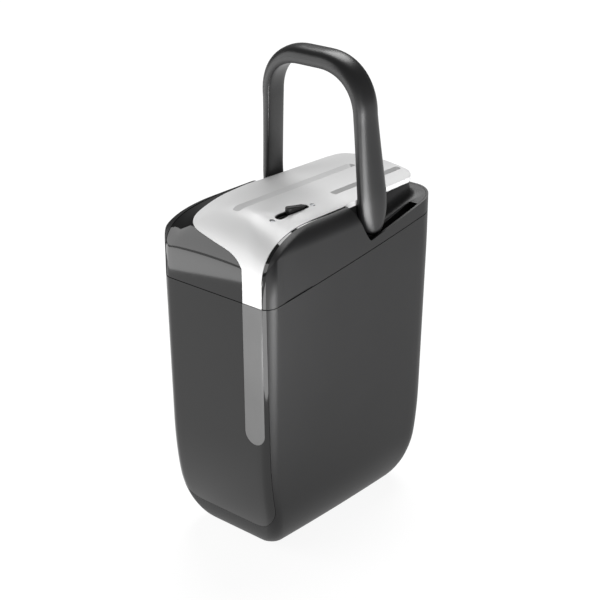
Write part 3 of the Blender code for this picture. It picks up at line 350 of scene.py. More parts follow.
def stripOutline(inset):  # plan of the white strip, drawn in by inset
    corner = strip["rearCorner"] - min(inset, 12)
    turnY = strip["rearY"] - inset - corner
    right = [(stripHalf(y) - inset, y) for y in strip["stops"]]
    right += arcPoints((stripHalf(turnY) - inset - corner, turnY), corner, 0, 90, 14)
    return right + [(-x, y) for x, y in reversed(right)]


def seamZ(y):
    return form["seamZ"] + form["seamSlope"] * (y + form["halfLength"])


def acrossBody(name, line):  # a side view pushed through the whole width
    return asTool(block(name, line, "x", -past["x"], past["x"]))


def over(name, heightAt, offset):
    end = past["y"]
    return acrossBody(name, [(-end, heightAt(-end) + offset), (end, heightAt(end) + offset),
                             (end, past["sky"]), (-end, past["sky"])])


def under(name, heightAt, offset):
    end, ground = past["y"], 200
    return acrossBody(name, [(-end, ground), (end, ground),
                             (end, heightAt(end) + offset), (-end, heightAt(-end) + offset)])


def borrowNormals(piece, *sources):  # a cut panel keeps the smooth shading of the form it was cut from
    mesh = piece.data
    mesh.shade_smooth()
    mesh.set_sharp_from_angle(angle=math.radians(shading["sharpAngle"]))
    normals = [Vector(corner.vector) for corner in mesh.corner_normals]
    guides = []
    for source in sources:
        points = [vert.co.copy() for vert in source.data.vertices]
        ways = [Vector(vert.normal) for vert in source.data.vertices]
        faces = [tuple(face.vertices) for face in source.data.polygons]
        guides.append((BVHTree.FromPolygons(points, faces), points, ways, faces))
    for face in mesh.polygons:
        for tree, points, ways, faces in guides:
            spot, way, index, distance = tree.find_nearest(face.center)
            if index is None or distance > shading["reach"] * mm:
                continue
            facing = way.dot(face.normal)
            if abs(facing) < shading["alignment"]:
                continue
            side = 1 if facing > 0 else -1
            for corner in face.loop_indices:
                place = mesh.vertices[mesh.loops[corner].vertex_index].co
                near, _, found, _ = tree.find_nearest(place)
                corners = faces[found]
                shares = poly_3d_calc([points[k] for k in corners], near)
                normal = sum((ways[k] * share for k, share in zip(corners, shares)), Vector())
                normals[corner] = normal.normalized() * side
            break
    mesh.normals_split_custom_set([tuple(normal) for normal in normals])
    return piece


# Finishes

finishes = {
    # vary and roughVary are how far colour and roughness drift, grain is the texture's size in mm
    "matte_charcoal": {"color": (0.0075, 0.0075, 0.0078), "vary": 0.10, "rough": 0.45, "roughVary": 0.05,
                       "grain": 0.55, "bump": 0.10, "shine": 0.27},
    "gloss_black": {"color": (0.003, 0.003, 0.0031), "vary": 0.05, "rough": 0.06, "roughVary": 0.02,
                    "grain": 6.0, "bump": 0.0, "shine": 0.5},
    "satin_white": {"color": (0.58, 0.58, 0.58), "vary": 0.02, "rough": 0.34, "roughVary": 0.04,
                    "grain": 0.5, "bump": 0.04},
    "smoke_window": {"color": (0.11, 0.11, 0.11), "vary": 0.05, "rough": 0.16, "roughVary": 0.03,
                     "grain": 5.0, "bump": 0.0, "coat": 0.2},
    "handle_grey": {"color": (0.009, 0.009, 0.0093), "vary": 0.08, "rough": 0.33, "roughVary": 0.04,
                    "grain": 0.5, "bump": 0.06, "shine": 0.34},
    "inner_black": {"color": (0.008, 0.008, 0.0083), "vary": 0.15, "rough": 0.50, "roughVary": 0.08,
                    "grain": 0.6, "bump": 0.12},
    "steel": {"color": (0.56, 0.57, 0.58), "vary": 0.12, "rough": 0.30, "roughVary": 0.12,
              "grain": 0.9, "bump": 0.05, "metallic": 1.0},
    "cutter_steel": {"color": (0.38, 0.38, 0.39), "vary": 0.20, "rough": 0.32, "roughVary": 0.12,
                     "grain": 0.5, "bump": 0.08, "metallic": 1.0},
    "gear_nylon": {"color": (0.66, 0.63, 0.56), "vary": 0.05, "rough": 0.42, "roughVary": 0.08,
                   "grain": 0.8, "bump": 0.06},
    "rubber": {"color": (0.022, 0.022, 0.022), "vary": 0.20, "rough": 0.78, "roughVary": 0.08,
               "grain": 0.7, "bump": 0.25},
    "board_green": {"color": (0.016, 0.105, 0.045), "vary": 0.35, "rough": 0.36, "roughVary": 0.10,
                    "grain": 2.4, "bump": 0.06},
    "lens_clear": {"color": (0.62, 0.64, 0.66), "vary": 0.04, "rough": 0.10, "roughVary": 0.02,
                   "grain": 2.0, "bump": 0.0, "coat": 0.5},
    "brass": {"color": (0.62, 0.46, 0.19), "vary": 0.10, "rough": 0.28, "roughVary": 0.10,
              "grain": 0.8, "bump": 0.05, "metallic": 1.0},
}


texture = {"cloudScale": 14.0, "cloudDetail": 4.0, "grainDetail": 3.0, "ramp": (0.3, 0.7),
           "coatRough": 0.05, "bumpShare": 0.25}


def makeFinish(name, look):
    made = bpy.data.materials.new(name)
    made.use_nodes = True
    nodes, links = made.node_tree.nodes, made.node_tree.links
    shader = nodes["Principled BSDF"]
    shader.inputs["Metallic"].default_value = look.get("metallic", 0.0)
    shader.inputs["Coat Weight"].default_value = look.get("coat", 0.0)
    shader.inputs["Coat Roughness"].default_value = texture["coatRough"]
    shader.inputs["Specular IOR Level"].default_value = look.get("shine", 0.5)
    place = nodes.new("ShaderNodeTexCoord")
    cloud = nodes.new("ShaderNodeTexNoise")  # slow drift of tone across a moulding
    cloud.inputs["Scale"].default_value = texture["cloudScale"]
    cloud.inputs["Detail"].default_value = texture["cloudDetail"]
    links.new(place.outputs["Object"], cloud.inputs["Vector"])
    tone = nodes.new("ShaderNodeValToRGB")
    for element, spot, sign in zip(tone.color_ramp.elements, texture["ramp"], (-1, 1)):
        element.position = spot
        element.color = (*[part * (1 + sign * look["vary"]) for part in look["color"]], 1.0)
    links.new(cloud.outputs["Fac"], tone.inputs["Fac"])
    links.new(tone.outputs["Color"], shader.inputs["Base Color"])
    grain = nodes.new("ShaderNodeTexNoise")
    grain.inputs["Scale"].default_value = 1000.0 / look["grain"]
    grain.inputs["Detail"].default_value = texture["grainDetail"]
    links.new(place.outputs["Object"], grain.inputs["Vector"])
    spread = nodes.new("ShaderNodeMapRange")
    spread.inputs["To Min"].default_value = look["rough"] - look["roughVary"]
    spread.inputs["To Max"].default_value = look["rough"] + look["roughVary"]
    links.new(grain.outputs["Fac"], spread.inputs["Value"])
    links.new(spread.outputs["Result"], shader.inputs["Roughness"])
    if look["bump"]:
        bump = nodes.new("ShaderNodeBump")
        bump.inputs["Strength"].default_value = look["bump"]
        bump.inputs["Distance"].default_value = look["grain"] * texture["bumpShare"] * mm
        links.new(grain.outputs["Fac"], bump.inputs["Height"])
        links.new(bump.outputs["Normal"], shader.inputs["Normal"])
    return made


materials = {name: makeFinish(name, look) for name, look in finishes.items()}
slotOf = {row["node"]: row["material_slot"] for row in frame["record"]["subparts"]}
for name, node in frame["nodes"].items():
    node.data.materials.clear()
    node.data.materials.append(materials[slotOf[name]])
print("finishes ready:", len(materials))


def finishPiece(piece, name, finish, body, *replaced):
    piece.name = name
    piece.data.materials.clear()
    piece.data.materials.append(materials[finish])
    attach(piece, body)
    if replaced:
        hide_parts(*replaced)
    return piece


def copyOf(item, name):
    made = bpy.data.objects.new(name, item.data.copy())
    bpy.context.scene.collection.objects.link(made)
    return made


# Bin

binSizes = {
    "panelHalf": 86.0, "panelFoot": 40.0, "panelCorner": 37.0, "panelTop": 450,
    "windowLeft": 48.3, "windowRight": 80.5, "windowFoot": 171.0, "windowGap": 0.25,
    "seatGap": 0.35, "floor": 4.0,
    "sightX": 64.5, "sightRadius": 8.5, "sightFoot": 196, "sightTop": 345,
    "rib": ((-64.0, -166.5, 326), (-56.0, -128, 338)),
}


def panelOutline(grow):
    half = binSizes["panelHalf"] + grow
    corner = binSizes["panelCorner"] + grow
    foot = binSizes["panelFoot"] - grow
    right = arcPoints((half - corner, foot + corner), corner, -90, 0, 16)
    left = arcPoints((-half + corner, foot + corner), corner, 180, 270, 16)
    return [(half, binSizes["panelTop"]), (-half, binSizes["panelTop"])] + left + right


def windowOutline(grow):
    right, left = binSizes["windowRight"] + grow, binSizes["windowLeft"] - grow
    radius = (right - left) / 2
    centre = ((right + left) / 2, binSizes["windowFoot"] + radius - grow)
    top = [(right, binSizes["panelTop"]), (left, binSizes["panelTop"])]
    return top + arcPoints(centre, radius, 180, 360, 24)


def throughFront(name, outline, rearEnd=-90):  # a front view pushed back through the front wall
    return asTool(block(name, outline, "y", -past["y"], rearEnd))


outerBin = binForm("outerBin", 0.0)
cavity = binForm("binCavity", walls["wall"], walls["wall"] + walls["skin"] + walls["gap"],
                 floor=binSizes["floor"])
panelCore = binForm("panelCore", walls["skin"])
seatCore = binForm("seatCore", walls["skin"] + walls["gap"])
overSeam = over("overSeam", seamZ, form["binRim"])

shell = copyOf(outerBin, "shell")
seat = throughFront("panelSeat", panelOutline(binSizes["seatGap"]))
cut(seat, seatCore)
cut(shell, cavity)
join(shell, asTool(brick("plungerRib", *binSizes["rib"])))
sightX, sightR = binSizes["sightX"], binSizes["sightRadius"]
sight = [(sightX - sightR, binSizes["sightTop"]), (sightX - sightR, binSizes["sightFoot"])]
sight += arcPoints((sightX, binSizes["sightFoot"]), sightR, 180, 360, 16)
sight += [(sightX + sightR, binSizes["sightTop"])]
cut(shell, overSeam, seat, throughFront("sightSlot", sight, -120))
borrowNormals(shell, outerBin, cavity)
finishPiece(shell, "binShell", "matte_charcoal", "bin", "bin_shell")

panel = copyOf(outerBin, "panel")
keep(panel, throughFront("panelOutline", panelOutline(0.0)))
cut(panel, panelCore, overSeam, throughFront("windowHole", windowOutline(binSizes["windowGap"])))
borrowNormals(panel, outerBin, panelCore)
finishPiece(panel, "binFrontPanel", "gloss_black", "bin", "bin_front_panel")

windowForm = binForm("windowForm", binSizes["windowGap"])
pane = copyOf(windowForm, "pane")
keep(pane, throughFront("windowOutline", windowOutline(0.0)))
cut(pane, panelCore, overSeam)
borrowNormals(pane, windowForm, panelCore)
finishPiece(pane, "levelWindow", "smoke_window", "bin", "bin_window")
print("bin ready")


# Head covers

sweep = {  # edge of the gloss front, as (x, distance along the 45 degree line)
    "edge": [(-76.4, 300), (-71, 266), (-60.5, 236), (-56.5, 211), (-43, 197), (-12, 189),
             (26, 181), (44, 171), (48.5, 158), (48.3, 100)],
}
slots = {
    "paper": {"x": -2.0, "start": -122.0, "end": 104.0, "width": 6.0,
              "levels": (455.0, 461.0), "reach": 9.5},
    "disc": {"x": 45.5, "start": 9.0, "end": 144.0, "width": 5.0,
             "levels": (453.6, 459.0), "reach": 5.5},
    "slider": {"x": 47.5, "start": -106.0, "end": -47.0, "width": 10.0},
}
lands = {  # thicker places under the white cover, which carry the slots' sloping sides
    "paper": ((-16, -126, 454.2), (5, 110, 470)),
    "disc": ((37, 2, 452.9), (50, 150, 470)),
}
lenses = {"front": (47.8, -113.5), "rear": (50.0, -40.0), "radius": 3.2, "clearance": 0.3}


def sweepRegion(name, shift):
    edge = smoothLine(sweep["edge"], 9)
    moved = []
    for i, point in enumerate(edge):
        along = (edge[min(i + 1, len(edge) - 1)] - edge[max(i - 1, 0)]).normalized()
        moved.append(point - Vector((along.y, -along.x)) * shift)
    outline = [(-130, moved[0].y)] + [tuple(p) for p in moved] + [(-130, moved[-1].y)]
    root = math.sqrt(0.5)
    bm = bmesh.new()
    bmesh.ops.create_circle(bm, cap_ends=True, segments=len(outline), radius=1.0)
    bm.verts.ensure_lookup_table()
    for vert, (x, s) in zip(bm.verts, outline):
        vert.co = Vector((x, s * root - 330, s * root + 330)) * mm
    raised = bmesh.ops.extrude_face_region(bm, geom=bm.faces[:])["geom"]
    corners = [item for item in raised if isinstance(item, bmesh.types.BMVert)]
    bmesh.ops.translate(bm, vec=Vector((0, 370, -370)) * mm, verts=corners)
    bmesh.ops.recalc_face_normals(bm, faces=bm.faces)
    return asTool(show(name, bm))


def slotRing(x, start, end, width, z):
    radius = width / 2
    outline = arcPoints((x, start + radius), radius, 180, 360, 10)
    outline += arcPoints((x, end - radius), radius, 0, 180, 10)
    return [(px, py, z) for px, py in outline]


def slotTool(name, slot, levels):  # levels are (z, how much wider than the slot)
    rings = []
    for z, grow in levels:
        start, end = slot["start"] - grow / 2, slot["end"] + grow / 2
        rings.append(slotRing(slot["x"], start, end, slot["width"] + grow, z))
    return asTool(wrap(name, rings))


def valley(name, slot):  # slot whose far side opens out into a shallow slope
    x0, width, levels = slot["x"], slot["width"], slot["levels"]
    rings = [slotRing(x0, slot["start"], slot["end"], width, z) for z in (440, levels[0])]
    for share in (0.25, 0.5, 0.75, 1.0):
        z = blendTo(levels[0], levels[1], share)
        ring = slotRing(x0, slot["start"] - 5 * share, slot["end"] + 5 * share, width, z)
        rings.append([(x - slot["reach"] * share if x < x0 else x, y, z) for x, y, z in ring])
    return asTool(wrap(name, rings))


def stripTool(name, inset, low=past["low"]):
    return asTool(block(name, stripOutline(inset), "z", low, past["high"]))


outerHead = headForm("outerHead", 0.0)
skinHead = headForm("skinHead", walls["skin"])
wallHead = headForm("wallHead", walls["wall"])
skirtHead = headForm("skirtHead", walls["skirt"])
underSeam = under("underSeam", seamZ, form["headRim"])
stripBlock = stripTool("stripBlock", 0.0)
glossSide = sweepRegion("glossSide", 0.0)
whiteSide = sweepRegion("whiteSide", 0.35)

hollow = copyOf(skinHead, "hollow")
keep(hollow, stripTool("stripCore", 2.5))
asTool(hollow)
cut(hollow, *[asTool(brick(name + "Land", *corners)) for name, corners in lands.items()])
white = copyOf(outerHead, "white")
keep(white, stripBlock)
cut(white, hollow, skirtHead, underSeam, whiteSide)
cut(white, valley("paperSlot", slots["paper"]), valley("discSlot", slots["disc"]),
    slotTool("sliderHole", slots["slider"], [(440, 0.8), (480, 0.8)]))
for end in ("front", "rear"):
    x, y = lenses[end]
    holeRadius = lenses["radius"] + lenses["clearance"]
    cut(white, asTool(peg("lensHole" + end, holeRadius, (x, y, 440), 40, "z")))
borrowNormals(white, outerHead, skinHead)
finishPiece(white, "topCover", "satin_white", "head", "top_cover")

gloss = copyOf(outerHead, "gloss")
keep(gloss, stripBlock, glossSide)
cut(gloss, skinHead, underSeam)
borrowNormals(gloss, outerHead, skinHead)
finishPiece(gloss, "headFrontCover", "gloss_black", "head", "head_front_cover")
print("top and front covers ready")


# Side covers, with the narrow gloss trim beside the strip

deck = {
    "frontZ": 400.8, "frontY": 22.0, "slope": 0.20, "pocketZ": 398.0,
    "pocketWall": [(-12, 475), (-9, 458), (-4, 440), (-1, 433), (11, 413), (18, 403.5)],
    "cove": 11.0,
}
trim = {
    "low": 5.4, "high": 2.6, "depth": 0.7, "fromY": -160.0, "toY": -105.0,
    "coverGap": 0.35, "stripGap": 0.3, "edge": 0.15,
    "stops": (-185, -165, -158, -150, -142, -134, -126, -118, -110, -102, -80, -60, -40, -25, -12,
              -9.5, -6.5, -4, 30),
}
slitSizes = {"frontY": -138, "rearY": -94, "below": 2, "above": 1.9}
back = {
    "gap": ((-61.8, 120, 300), (61.8, 200, 500)), "span": ((-61.6, 140, 300), (61.6, 200, 500)),
    "inlet": ((-36.5, 150, 411.8), (-19.5, 190, 423.0)),
}
halves = {"right": ((0.5, -200, 250), (150, 200, 520)), "left": ((-150, -200, 250), (-0.5, 200, 520))}


def trimWidth(y):
    share = ease((y - trim["fromY"]) / (trim["toY"] - trim["fromY"]))
    return blendTo(trim["low"], trim["high"], share)


def besideStrip(name, grow, widths):  # the strip's plan with a gap and, if asked, the trim's width
    right = [(stripHalf(y) + grow + (trimWidth(y) if widths else 0), y) for y in trim["stops"]]
    outline = right + [(-x, y) for x, y in reversed(right)]
    return asTool(block(name, outline, "z", past["low"], past["high"]))


def deckZ(y):
    return deck["frontZ"] + deck["slope"] * (y - deck["frontY"])


def openOutline():
    return deck["pocketWall"] + [(deck["frontY"], deck["frontZ"]), (190, deckZ(190)), (190, 475)]


def slitOutline():  # runs out to a point at its front end
    front, rearEnd = slitSizes["frontY"], slitSizes["rearY"]
    tip = front - 12
    below, above = slitSizes["below"], slitSizes["above"]
    return [(tip, seamZ(tip) - below), (rearEnd, seamZ(rearEnd) - below),
            (rearEnd, seamZ(rearEnd) + above), (front, seamZ(front) + above)]


notch = acrossBody("legNotch", openOutline())
rearGap = asTool(brick("rearGap", *back["gap"]))
slit = acrossBody("sideSlit", slitOutline())
withTrim = besideStrip("withTrim", trim["coverGap"], True)
stripRear = stripTool("stripRear", -walls["gap"])
for side, corners in halves.items():
    cover = copyOf(outerHead, "cover" + side)
    keep(cover, asTool(brick("half" + side, *corners)))
    cut(cover, wallHead, withTrim, stripRear, underSeam, rearGap, notch, slit)
    borrowNormals(cover, outerHead, wallHead)
    finishPiece(cover, "sideCover." + side, "matte_charcoal", "head", "side_cover_" + side)

trimForm = headForm("trimForm", trim["depth"])
besideGap = besideStrip("besideGap", trim["stripGap"], False)
trimOuter = besideStrip("trimOuter", trim["edge"], True)
for side, corners in halves.items():
    band = copyOf(trimForm, "band" + side)
    keep(band, asTool(brick("trimHalf" + side, *corners)), trimOuter)
    cut(band, wallHead, besideGap, underSeam, notch)
    borrowNormals(band, trimForm, wallHead)
    finishPiece(band, "sideTrim." + side, "gloss_black", "head")

rear = copyOf(outerHead, "rear")
keep(rear, asTool(brick("rearSpan", *back["span"])))
cut(rear, wallHead, underSeam, over("overDeck", deckZ, 0.0),
    asTool(brick("inletHole", *back["inlet"])))
borrowNormals(rear, outerHead, wallHead)
finishPiece(rear, "rearCover", "matte_charcoal", "head", "rear_cover")
print("side and rear covers ready")


# Rear deck: ledge, cove, leg pockets and channels

lane = {
    "outline": [(86.0, 40), (100.0, 40), (95.0, 100), (92.5, 126), (78.5, 126), (81.0, 100)],
    "depth": 10.0, "pinRadius": 5.3, "pinFrom": {"Right": 60, "Left": -80},
}


def coveRings(reach):  # rings round the block, flaring out into the ledge
    rings, steps = [], 12
    for i in range(steps + 1):
        turn = math.radians(90 * i / steps)
        flare = deck["cove"] * (1 - math.sin(turn))
        lift = deck["cove"] * (1 - math.cos(turn)) - 0.6
        outline = stripOutline(1.0 - flare)
        rings.append([(x, y, deckZ(y) + lift) for x, y in outline])
    rings.append([(x, y, reach) for x, y in stripOutline(1.0)])
    rings.insert(0, [(x, y, 392.0) for x, y in stripOutline(1.0 - deck["cove"])])
    return rings


ledgeForm = headForm("ledgeForm", walls["wall"] + walls["gap"])
pocketUnder = deck["pocketZ"] - 2.5
sideView = [(22, pocketUnder), (60, pocketUnder), (132, deckZ(132) - 13),
            (134, deckZ(134) - 3), (190, deckZ(190) - 3), (190, 470), (-16.5, 470),
            (-12.5, 458), (-7, 440), (-3.5, 431.5), (8.5, 411.5), (15.5, 402)]
sideBlock = acrossBody("deckSide", sideView)
underRim = stripTool("underRim", -3.0, 425)
cut(underRim, headForm("rimForm", walls["skirt"] + walls["gap"]))
cove = asTool(wrap("cove", coveRings(470)))
room = copyOf(notch, "room")
cut(room, cove)
asTool(room)
ledge = copyOf(ledgeForm, "ledge")
keep(ledge, sideBlock)
cut(ledge, room, stripTool("blockInner", 3.5, 340), underRim)
pocket = deck["pocketWall"] + [(25, deck["pocketZ"]), (62, deck["pocketZ"]), (62, 475)]
for name, sign in (("Right", 1), ("Left", -1)):
    low, high = sorted((75.8 * sign, 130 * sign))
    outline = [(x * sign, y) for x, y in lane["outline"]]
    channel = asTool(block("lane" + name, outline, "z", 390, 470))
    keep(channel, over("laneFloor" + name, deckZ, -lane["depth"]))
    pin = peg("pinHole" + name, lane["pinRadius"], (lane["pinFrom"][name], 37, 429), 20, "x")
    cut(ledge, asTool(block("pocket" + name, pocket, "x", low, high)), channel, asTool(pin))
borrowNormals(ledge, cove, ledgeForm)
finishPiece(ledge, "rearDeck", "matte_charcoal", "head", "rear_deck")
print("rear deck ready")


# Handle

handle = {
    "pivotY": 37.0, "pivotZ": 429.0, "lean": 5.3, "bottom": -28.5, "taperTo": 20.0,
    "top": 194.3, "archFrom": 132.0, "archWide": 60.0, "legLow": 84.5, "legHigh": 78.0, "twist": 14.0,
    "backSweep": 0.03, "boreRadius": 5.3, "rootShift": 1.9,
    "width": 44.0, "narrowing": 8.0, "topWiden": 2.0, "thickness": 15.0, "topThicken": 8.0,
    "sectionSides": 60, "outerShare": 0.64, "innerShare": 0.30,
}


def legX(h):
    return blendTo(handle["legLow"], handle["legHigh"], max(0.0, (h - 26) / 90))


def handleLine():
    heights = [blendTo(handle["bottom"], handle["taperTo"], (i / 14) ** 1.9) for i in range(15)]
    heights += [blendTo(handle["taperTo"], handle["archFrom"], i / 12) for i in range(1, 12)]
    line = [(legX(h), h) for h in heights]
    for i in range(19):
        turn = math.radians(90 * i / 18)
        x = legX(handle["archFrom"]) - handle["archWide"] * (1 - math.cos(turn) ** 0.9)
        rise = (handle["top"] - handle["archFrom"]) * math.sin(turn) ** 0.9
        line.append((x, handle["archFrom"] + rise))
    return line + [(-x, h) for x, h in reversed(line)]


def handleSection(width, thickness):  # outwards is u, along the width is v, rear positive
    points = []
    count = handle["sectionSides"]
    for i in range(count):
        angle = 2 * math.pi * i / count
        sinA, cosA = math.sin(angle), math.cos(angle)
        v = width / 2 * math.copysign(abs(sinA) ** 0.8, sinA)
        outside = cosA > 0
        reach = thickness * handle["outerShare" if outside else "innerShare"]
        u = reach * math.copysign(abs(cosA) ** (0.9 if outside else 0.22), cosA)
        points.append((u, v))
    return points


def handleRings():
    line = handleLine()
    top = max(h for _, h in line)
    lean = math.radians(handle["lean"])
    up = Vector((0, -math.sin(lean), math.cos(lean)))
    back = Vector((0, math.cos(lean), math.sin(lean)))
    root = Vector((0, handle["pivotY"] + handle["rootShift"], handle["pivotZ"]))
    rings = []
    for i, (x, h) in enumerate(line):
        after, before = line[min(i + 1, len(line) - 1)], line[max(i - 1, 0)]
        along = (Vector(after) - Vector(before)).normalized()
        out = Vector((along.y, -along.x))
        share = max(0.0, (h - handle["taperTo"]) / (top - handle["taperTo"]))
        width = (handle["width"] - handle["narrowing"] * min(1.0, share * 1.6)
                 + handle["topWiden"] * share ** 4)
        thickness = handle["thickness"] + handle["topThicken"] * share ** 3
        middle = root + Vector((x, handle["backSweep"] * max(0.0, h - handle["taperTo"]), 0))
        twist = math.radians(handle["twist"] * (1 - share) ** 0.7)
        if h < handle["taperTo"]:
            fall = (handle["taperTo"] - h) / (handle["taperTo"] - handle["bottom"] + 0.8)
            width *= math.sqrt(1 - fall ** 2.2)
            thickness *= 0.45 + 0.55 * math.sqrt(1 - fall ** 2)
        ring = []
        for u, v in handleSection(width, thickness):
            turnedU = u * math.cos(twist) + v * math.sin(twist)
            turnedV = -u * math.sin(twist) + v * math.cos(twist)
            flat = out * turnedU
            ring.append(middle + Vector((flat.x, 0, 0)) + up * (h + flat.y) + back * turnedV)
        rings.append(ring)
    return rings


handleForm = asTool(wrap("handleForm", handleRings()))
grip = copyOf(handleForm, "grip")
for sign, start in ((1, 70), (-1, -90)):
    root = (start, handle["pivotY"], handle["pivotZ"])
    cut(grip, asTool(peg(f"pinBore{sign}", handle["boreRadius"], root, 20, "x")))
borrowNormals(grip, handleForm)
finishPiece(grip, "carryHandle", "handle_grey", "handle", "handle")
print("handle ready")


# Slide switch and lenses

knob = {
    "start": -87.0, "end": -53.0, "width": 9.4, "base": 457.4, "top": 463.6, "step": 3.0, "fall": 1.7,
    "levels": ((0.0, -0.8), (0.12, -0.2), (0.3, 0.0), (0.78, -0.1), (0.92, -0.7), (1.0, -1.9)),
    "dishY": -79, "dishRadius": 3.4, "dishZ": 462.2, "dishStretch": 1.35, "dishRim": 0.9,
    "ridgeFrom": -66.5, "ridgePitch": 3.0, "ridges": 4,
}


def knobTop(y):
    t = (y - knob["start"]) / (knob["end"] - knob["start"])
    return knob["top"] - knob["step"] * ease((t - 0.36) / 0.16) - knob["fall"] * max(0.0, t - 0.4) / 0.6


def inSlot(slot, frontMargin, rearMargin, width):  # the slot drawn in at its ends and in width
    return {**slot, "start": slot["start"] + frontMargin, "end": slot["end"] - rearMargin,
            "width": width}


def makeSlider():
    slot = slots["slider"]
    recess = slotTool("trackRecess", inSlot(slot, 0.9, 0.9, slot["width"] - 1.8),
                      [(452.5, 0), (480, 0)])
    body = slotTool("trackBody", slot, [(448, 0), (480, 0)])
    track = copyOf(body, "track")
    trackForm = headForm("trackTop", 0.25)
    keep(track, trackForm)
    cut(track, recess, slotTool("trackSlit", inSlot(slot, 6, 6, 3.4), [(440, 0), (480, 0)]))
    borrowNormals(track, trackForm)
    finishPiece(track, "sliderTrack", "inner_black", "head", "slider_track")

    rings = []
    for level, grow in knob["levels"]:
        ring = slotRing(slot["x"], knob["start"] - grow / 2, knob["end"] + grow / 2,
                        knob["width"] + grow, 0)
        rings.append([(x, y, blendTo(knob["base"], knobTop(y), level)) for x, y, _ in ring])
    button = wrap("button", rings)
    dishY = knob["dishY"]
    dish = asTool(peg("dish", knob["dishRadius"], (slot["x"], dishY, knob["dishZ"]), 6, "z", 40))
    rim = dish.modifiers.new("round", "BEVEL")
    rim.width, rim.segments = knob["dishRim"] * mm, 4
    settle(dish)
    dish.data.transform(Matrix.Translation(Vector((0, dishY, 0)) * mm)
                        @ Matrix.Scale(knob["dishStretch"], 4, (0, 1, 0))
                        @ Matrix.Translation(Vector((0, -dishY, 0)) * mm))
    cut(button, dish)
    for i in range(knob["ridges"]):
        y = knob["ridgeFrom"] + knob["ridgePitch"] * i
        ridge = ((slot["x"] - 6, y, knobTop(y) - 0.5), (slot["x"] + 6, y + 1.0, 470))
        cut(button, asTool(brick(f"ridge{i}", *ridge)))
    underKnob = {"x": slot["x"], "start": knob["start"], "end": knob["end"]}
    base = slotTool("knobBase", inSlot(underKnob, 1.5, 1.5, 7.4), [(453.6, 0), (458.4, 0)])
    stem = asTool(brick("knobStem", (slot["x"] - 1.2, knob["start"] + 12, 447.4),
                        (slot["x"] + 1.2, knob["start"] + 22, 454.5)))
    join(button, base, stem)
    button.data.shade_smooth()
    button.data.set_sharp_from_angle(angle=math.radians(38))
    finishPiece(button, "modeSlider", "inner_black", "mode_slider", "mode_slider")


def makeLens(end):
    x, y = lenses[end]
    radius = lenses["radius"]
    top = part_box("indicator_lens_" + end)[1].z / mm
    profile = [(0, 450), (radius, 450), (radius, top - 0.9),
               (radius - 0.4, top - 0.45), (1.8, top - 0.15), (0, top - 0.05)]
    lens = turned("lens", profile, (x, y, 0), 32)
    lens.data.shade_smooth()
    lens.data.set_sharp_from_angle(angle=math.radians(45))
    finishPiece(lens, "indicatorLens." + end, "lens_clear", "head", "indicator_lens_" + end)


makeSlider()
makeLens("front")
makeLens("rear")
print("controls ready")


for tool in tools:
    bpy.data.objects.remove(tool, do_unlink=True)


# Stage

stage = {
    "azimuth": 40.89, "elevation": 23.479, "distance": 1.9923,
    "target": (0.00785, -0.01549, 0.3049), "lens": 90.21,
    "floorRadius": 9.0, "floorColor": 0.12, "floorGlow": 0.92, "world": 0.20,
    # Place, what it faces, size and radiance of each softbox
    "softboxes": {
        "frontLeft": ((-1.55, -1.55, 1.02), (0.0, 0.0, 0.42), (2.0, 1.5), 3.1),
        "lowLeft": ((-1.55, -1.50, 0.012), (-1.55, -1.50, 1.0), (1.9, 2.2), 2.6),
        "lowFront": ((0.42, -1.12, 0.012), (0.42, -1.12, 1.0), (0.8, 1.2), 4.5),
        "lowRight": ((1.14, -0.36, 0.012), (1.14, -0.36, 1.0), (0.8, 1.2), 18.0),
    },
    "overhead": {"azimuth": 212, "elevation": 56, "strength": 3.2, "spread": 40},
}


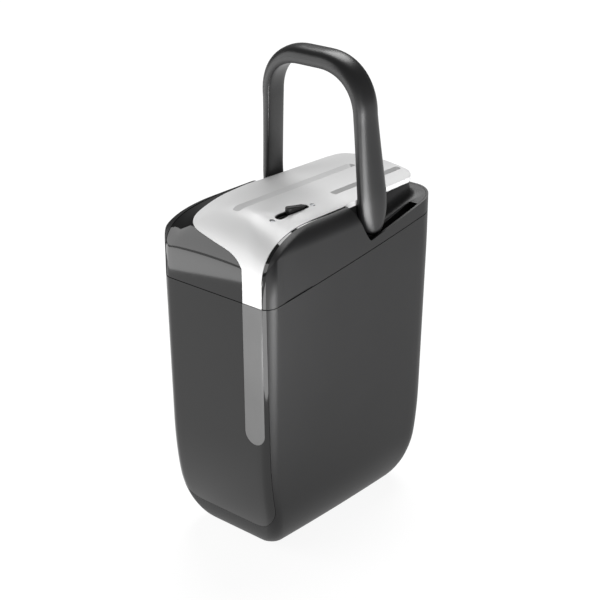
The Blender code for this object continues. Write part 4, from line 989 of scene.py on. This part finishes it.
def makeFloor():
    bm = bmesh.new()
    bmesh.ops.create_circle(bm, cap_ends=True, segments=96, radius=stage["floorRadius"])
    floor = show("floor", bm)
    look = bpy.data.materials.new("paleFloor")
    look.use_nodes = True
    shader = look.node_tree.nodes["Principled BSDF"]
    shader.inputs["Base Color"].default_value = (*[stage["floorColor"]] * 3, 1.0)
    shader.inputs["Roughness"].default_value = 0.9
    shader.inputs["Specular IOR Level"].default_value = 0.1
    shader.inputs["Emission Color"].default_value = (1, 1, 1, 1)
    shader.inputs["Emission Strength"].default_value = stage["floorGlow"]
    floor.data.materials.append(look)
    floor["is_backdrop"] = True


def aim(item, target):
    item.rotation_mode = "QUATERNION"
    item.rotation_quaternion = (Vector(target) - item.location).to_track_quat("-Z", "Y")


def towards(azimuth, elevation):
    a, e = math.radians(azimuth), math.radians(elevation)
    return Vector((math.sin(a) * math.cos(e), -math.cos(a) * math.cos(e), math.sin(e)))


def makeSoftbox(name, place, faces, size, radiance):
    lamp = bpy.data.lights.new(name, "AREA")
    lamp.shape, lamp.size, lamp.size_y = "RECTANGLE", size[0], size[1]
    lamp.energy = radiance * math.pi * size[0] * size[1]
    item = bpy.data.objects.new(name, lamp)
    bpy.context.scene.collection.objects.link(item)
    item.location = place
    aim(item, faces)
    if name.startswith("low"):  # lies on the floor, one side square to the line from the middle
        turn = Matrix.Rotation(math.atan2(place[0], -place[1]), 3, "Z")
        item.rotation_quaternion = (turn @ Matrix.Rotation(math.pi, 3, "X")).to_quaternion()


def makeOverhead(azimuth, elevation, strength, spread):
    lamp = bpy.data.lights.new("overhead", "SUN")
    lamp.energy, lamp.angle = strength, math.radians(spread)
    item = bpy.data.objects.new("overhead", lamp)
    bpy.context.scene.collection.objects.link(item)
    item.location = 3.0 * towards(azimuth, elevation)
    aim(item, (0, 0, 0))


makeFloor()
for name, look in stage["softboxes"].items():
    makeSoftbox(name, *look)
makeOverhead(**stage["overhead"])
world = bpy.data.worlds.new("studio")
world.use_nodes = True
world.node_tree.nodes["Background"].inputs["Color"].default_value = (1, 1, 1, 1)
world.node_tree.nodes["Background"].inputs["Strength"].default_value = stage["world"]
bpy.context.scene.world = world
bpy.context.scene.view_settings.view_transform = "Standard"

camera = bpy.data.cameras.new("camera")
camera.lens, camera.sensor_width = stage["lens"], 36.0
eye = bpy.data.objects.new("camera", camera)
bpy.context.scene.collection.objects.link(eye)
outward = towards(stage["azimuth"], stage["elevation"])
eye.location = Vector(stage["target"]) + stage["distance"] * outward
aim(eye, stage["target"])
bpy.context.scene.camera = eye
print("stage ready")

low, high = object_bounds()
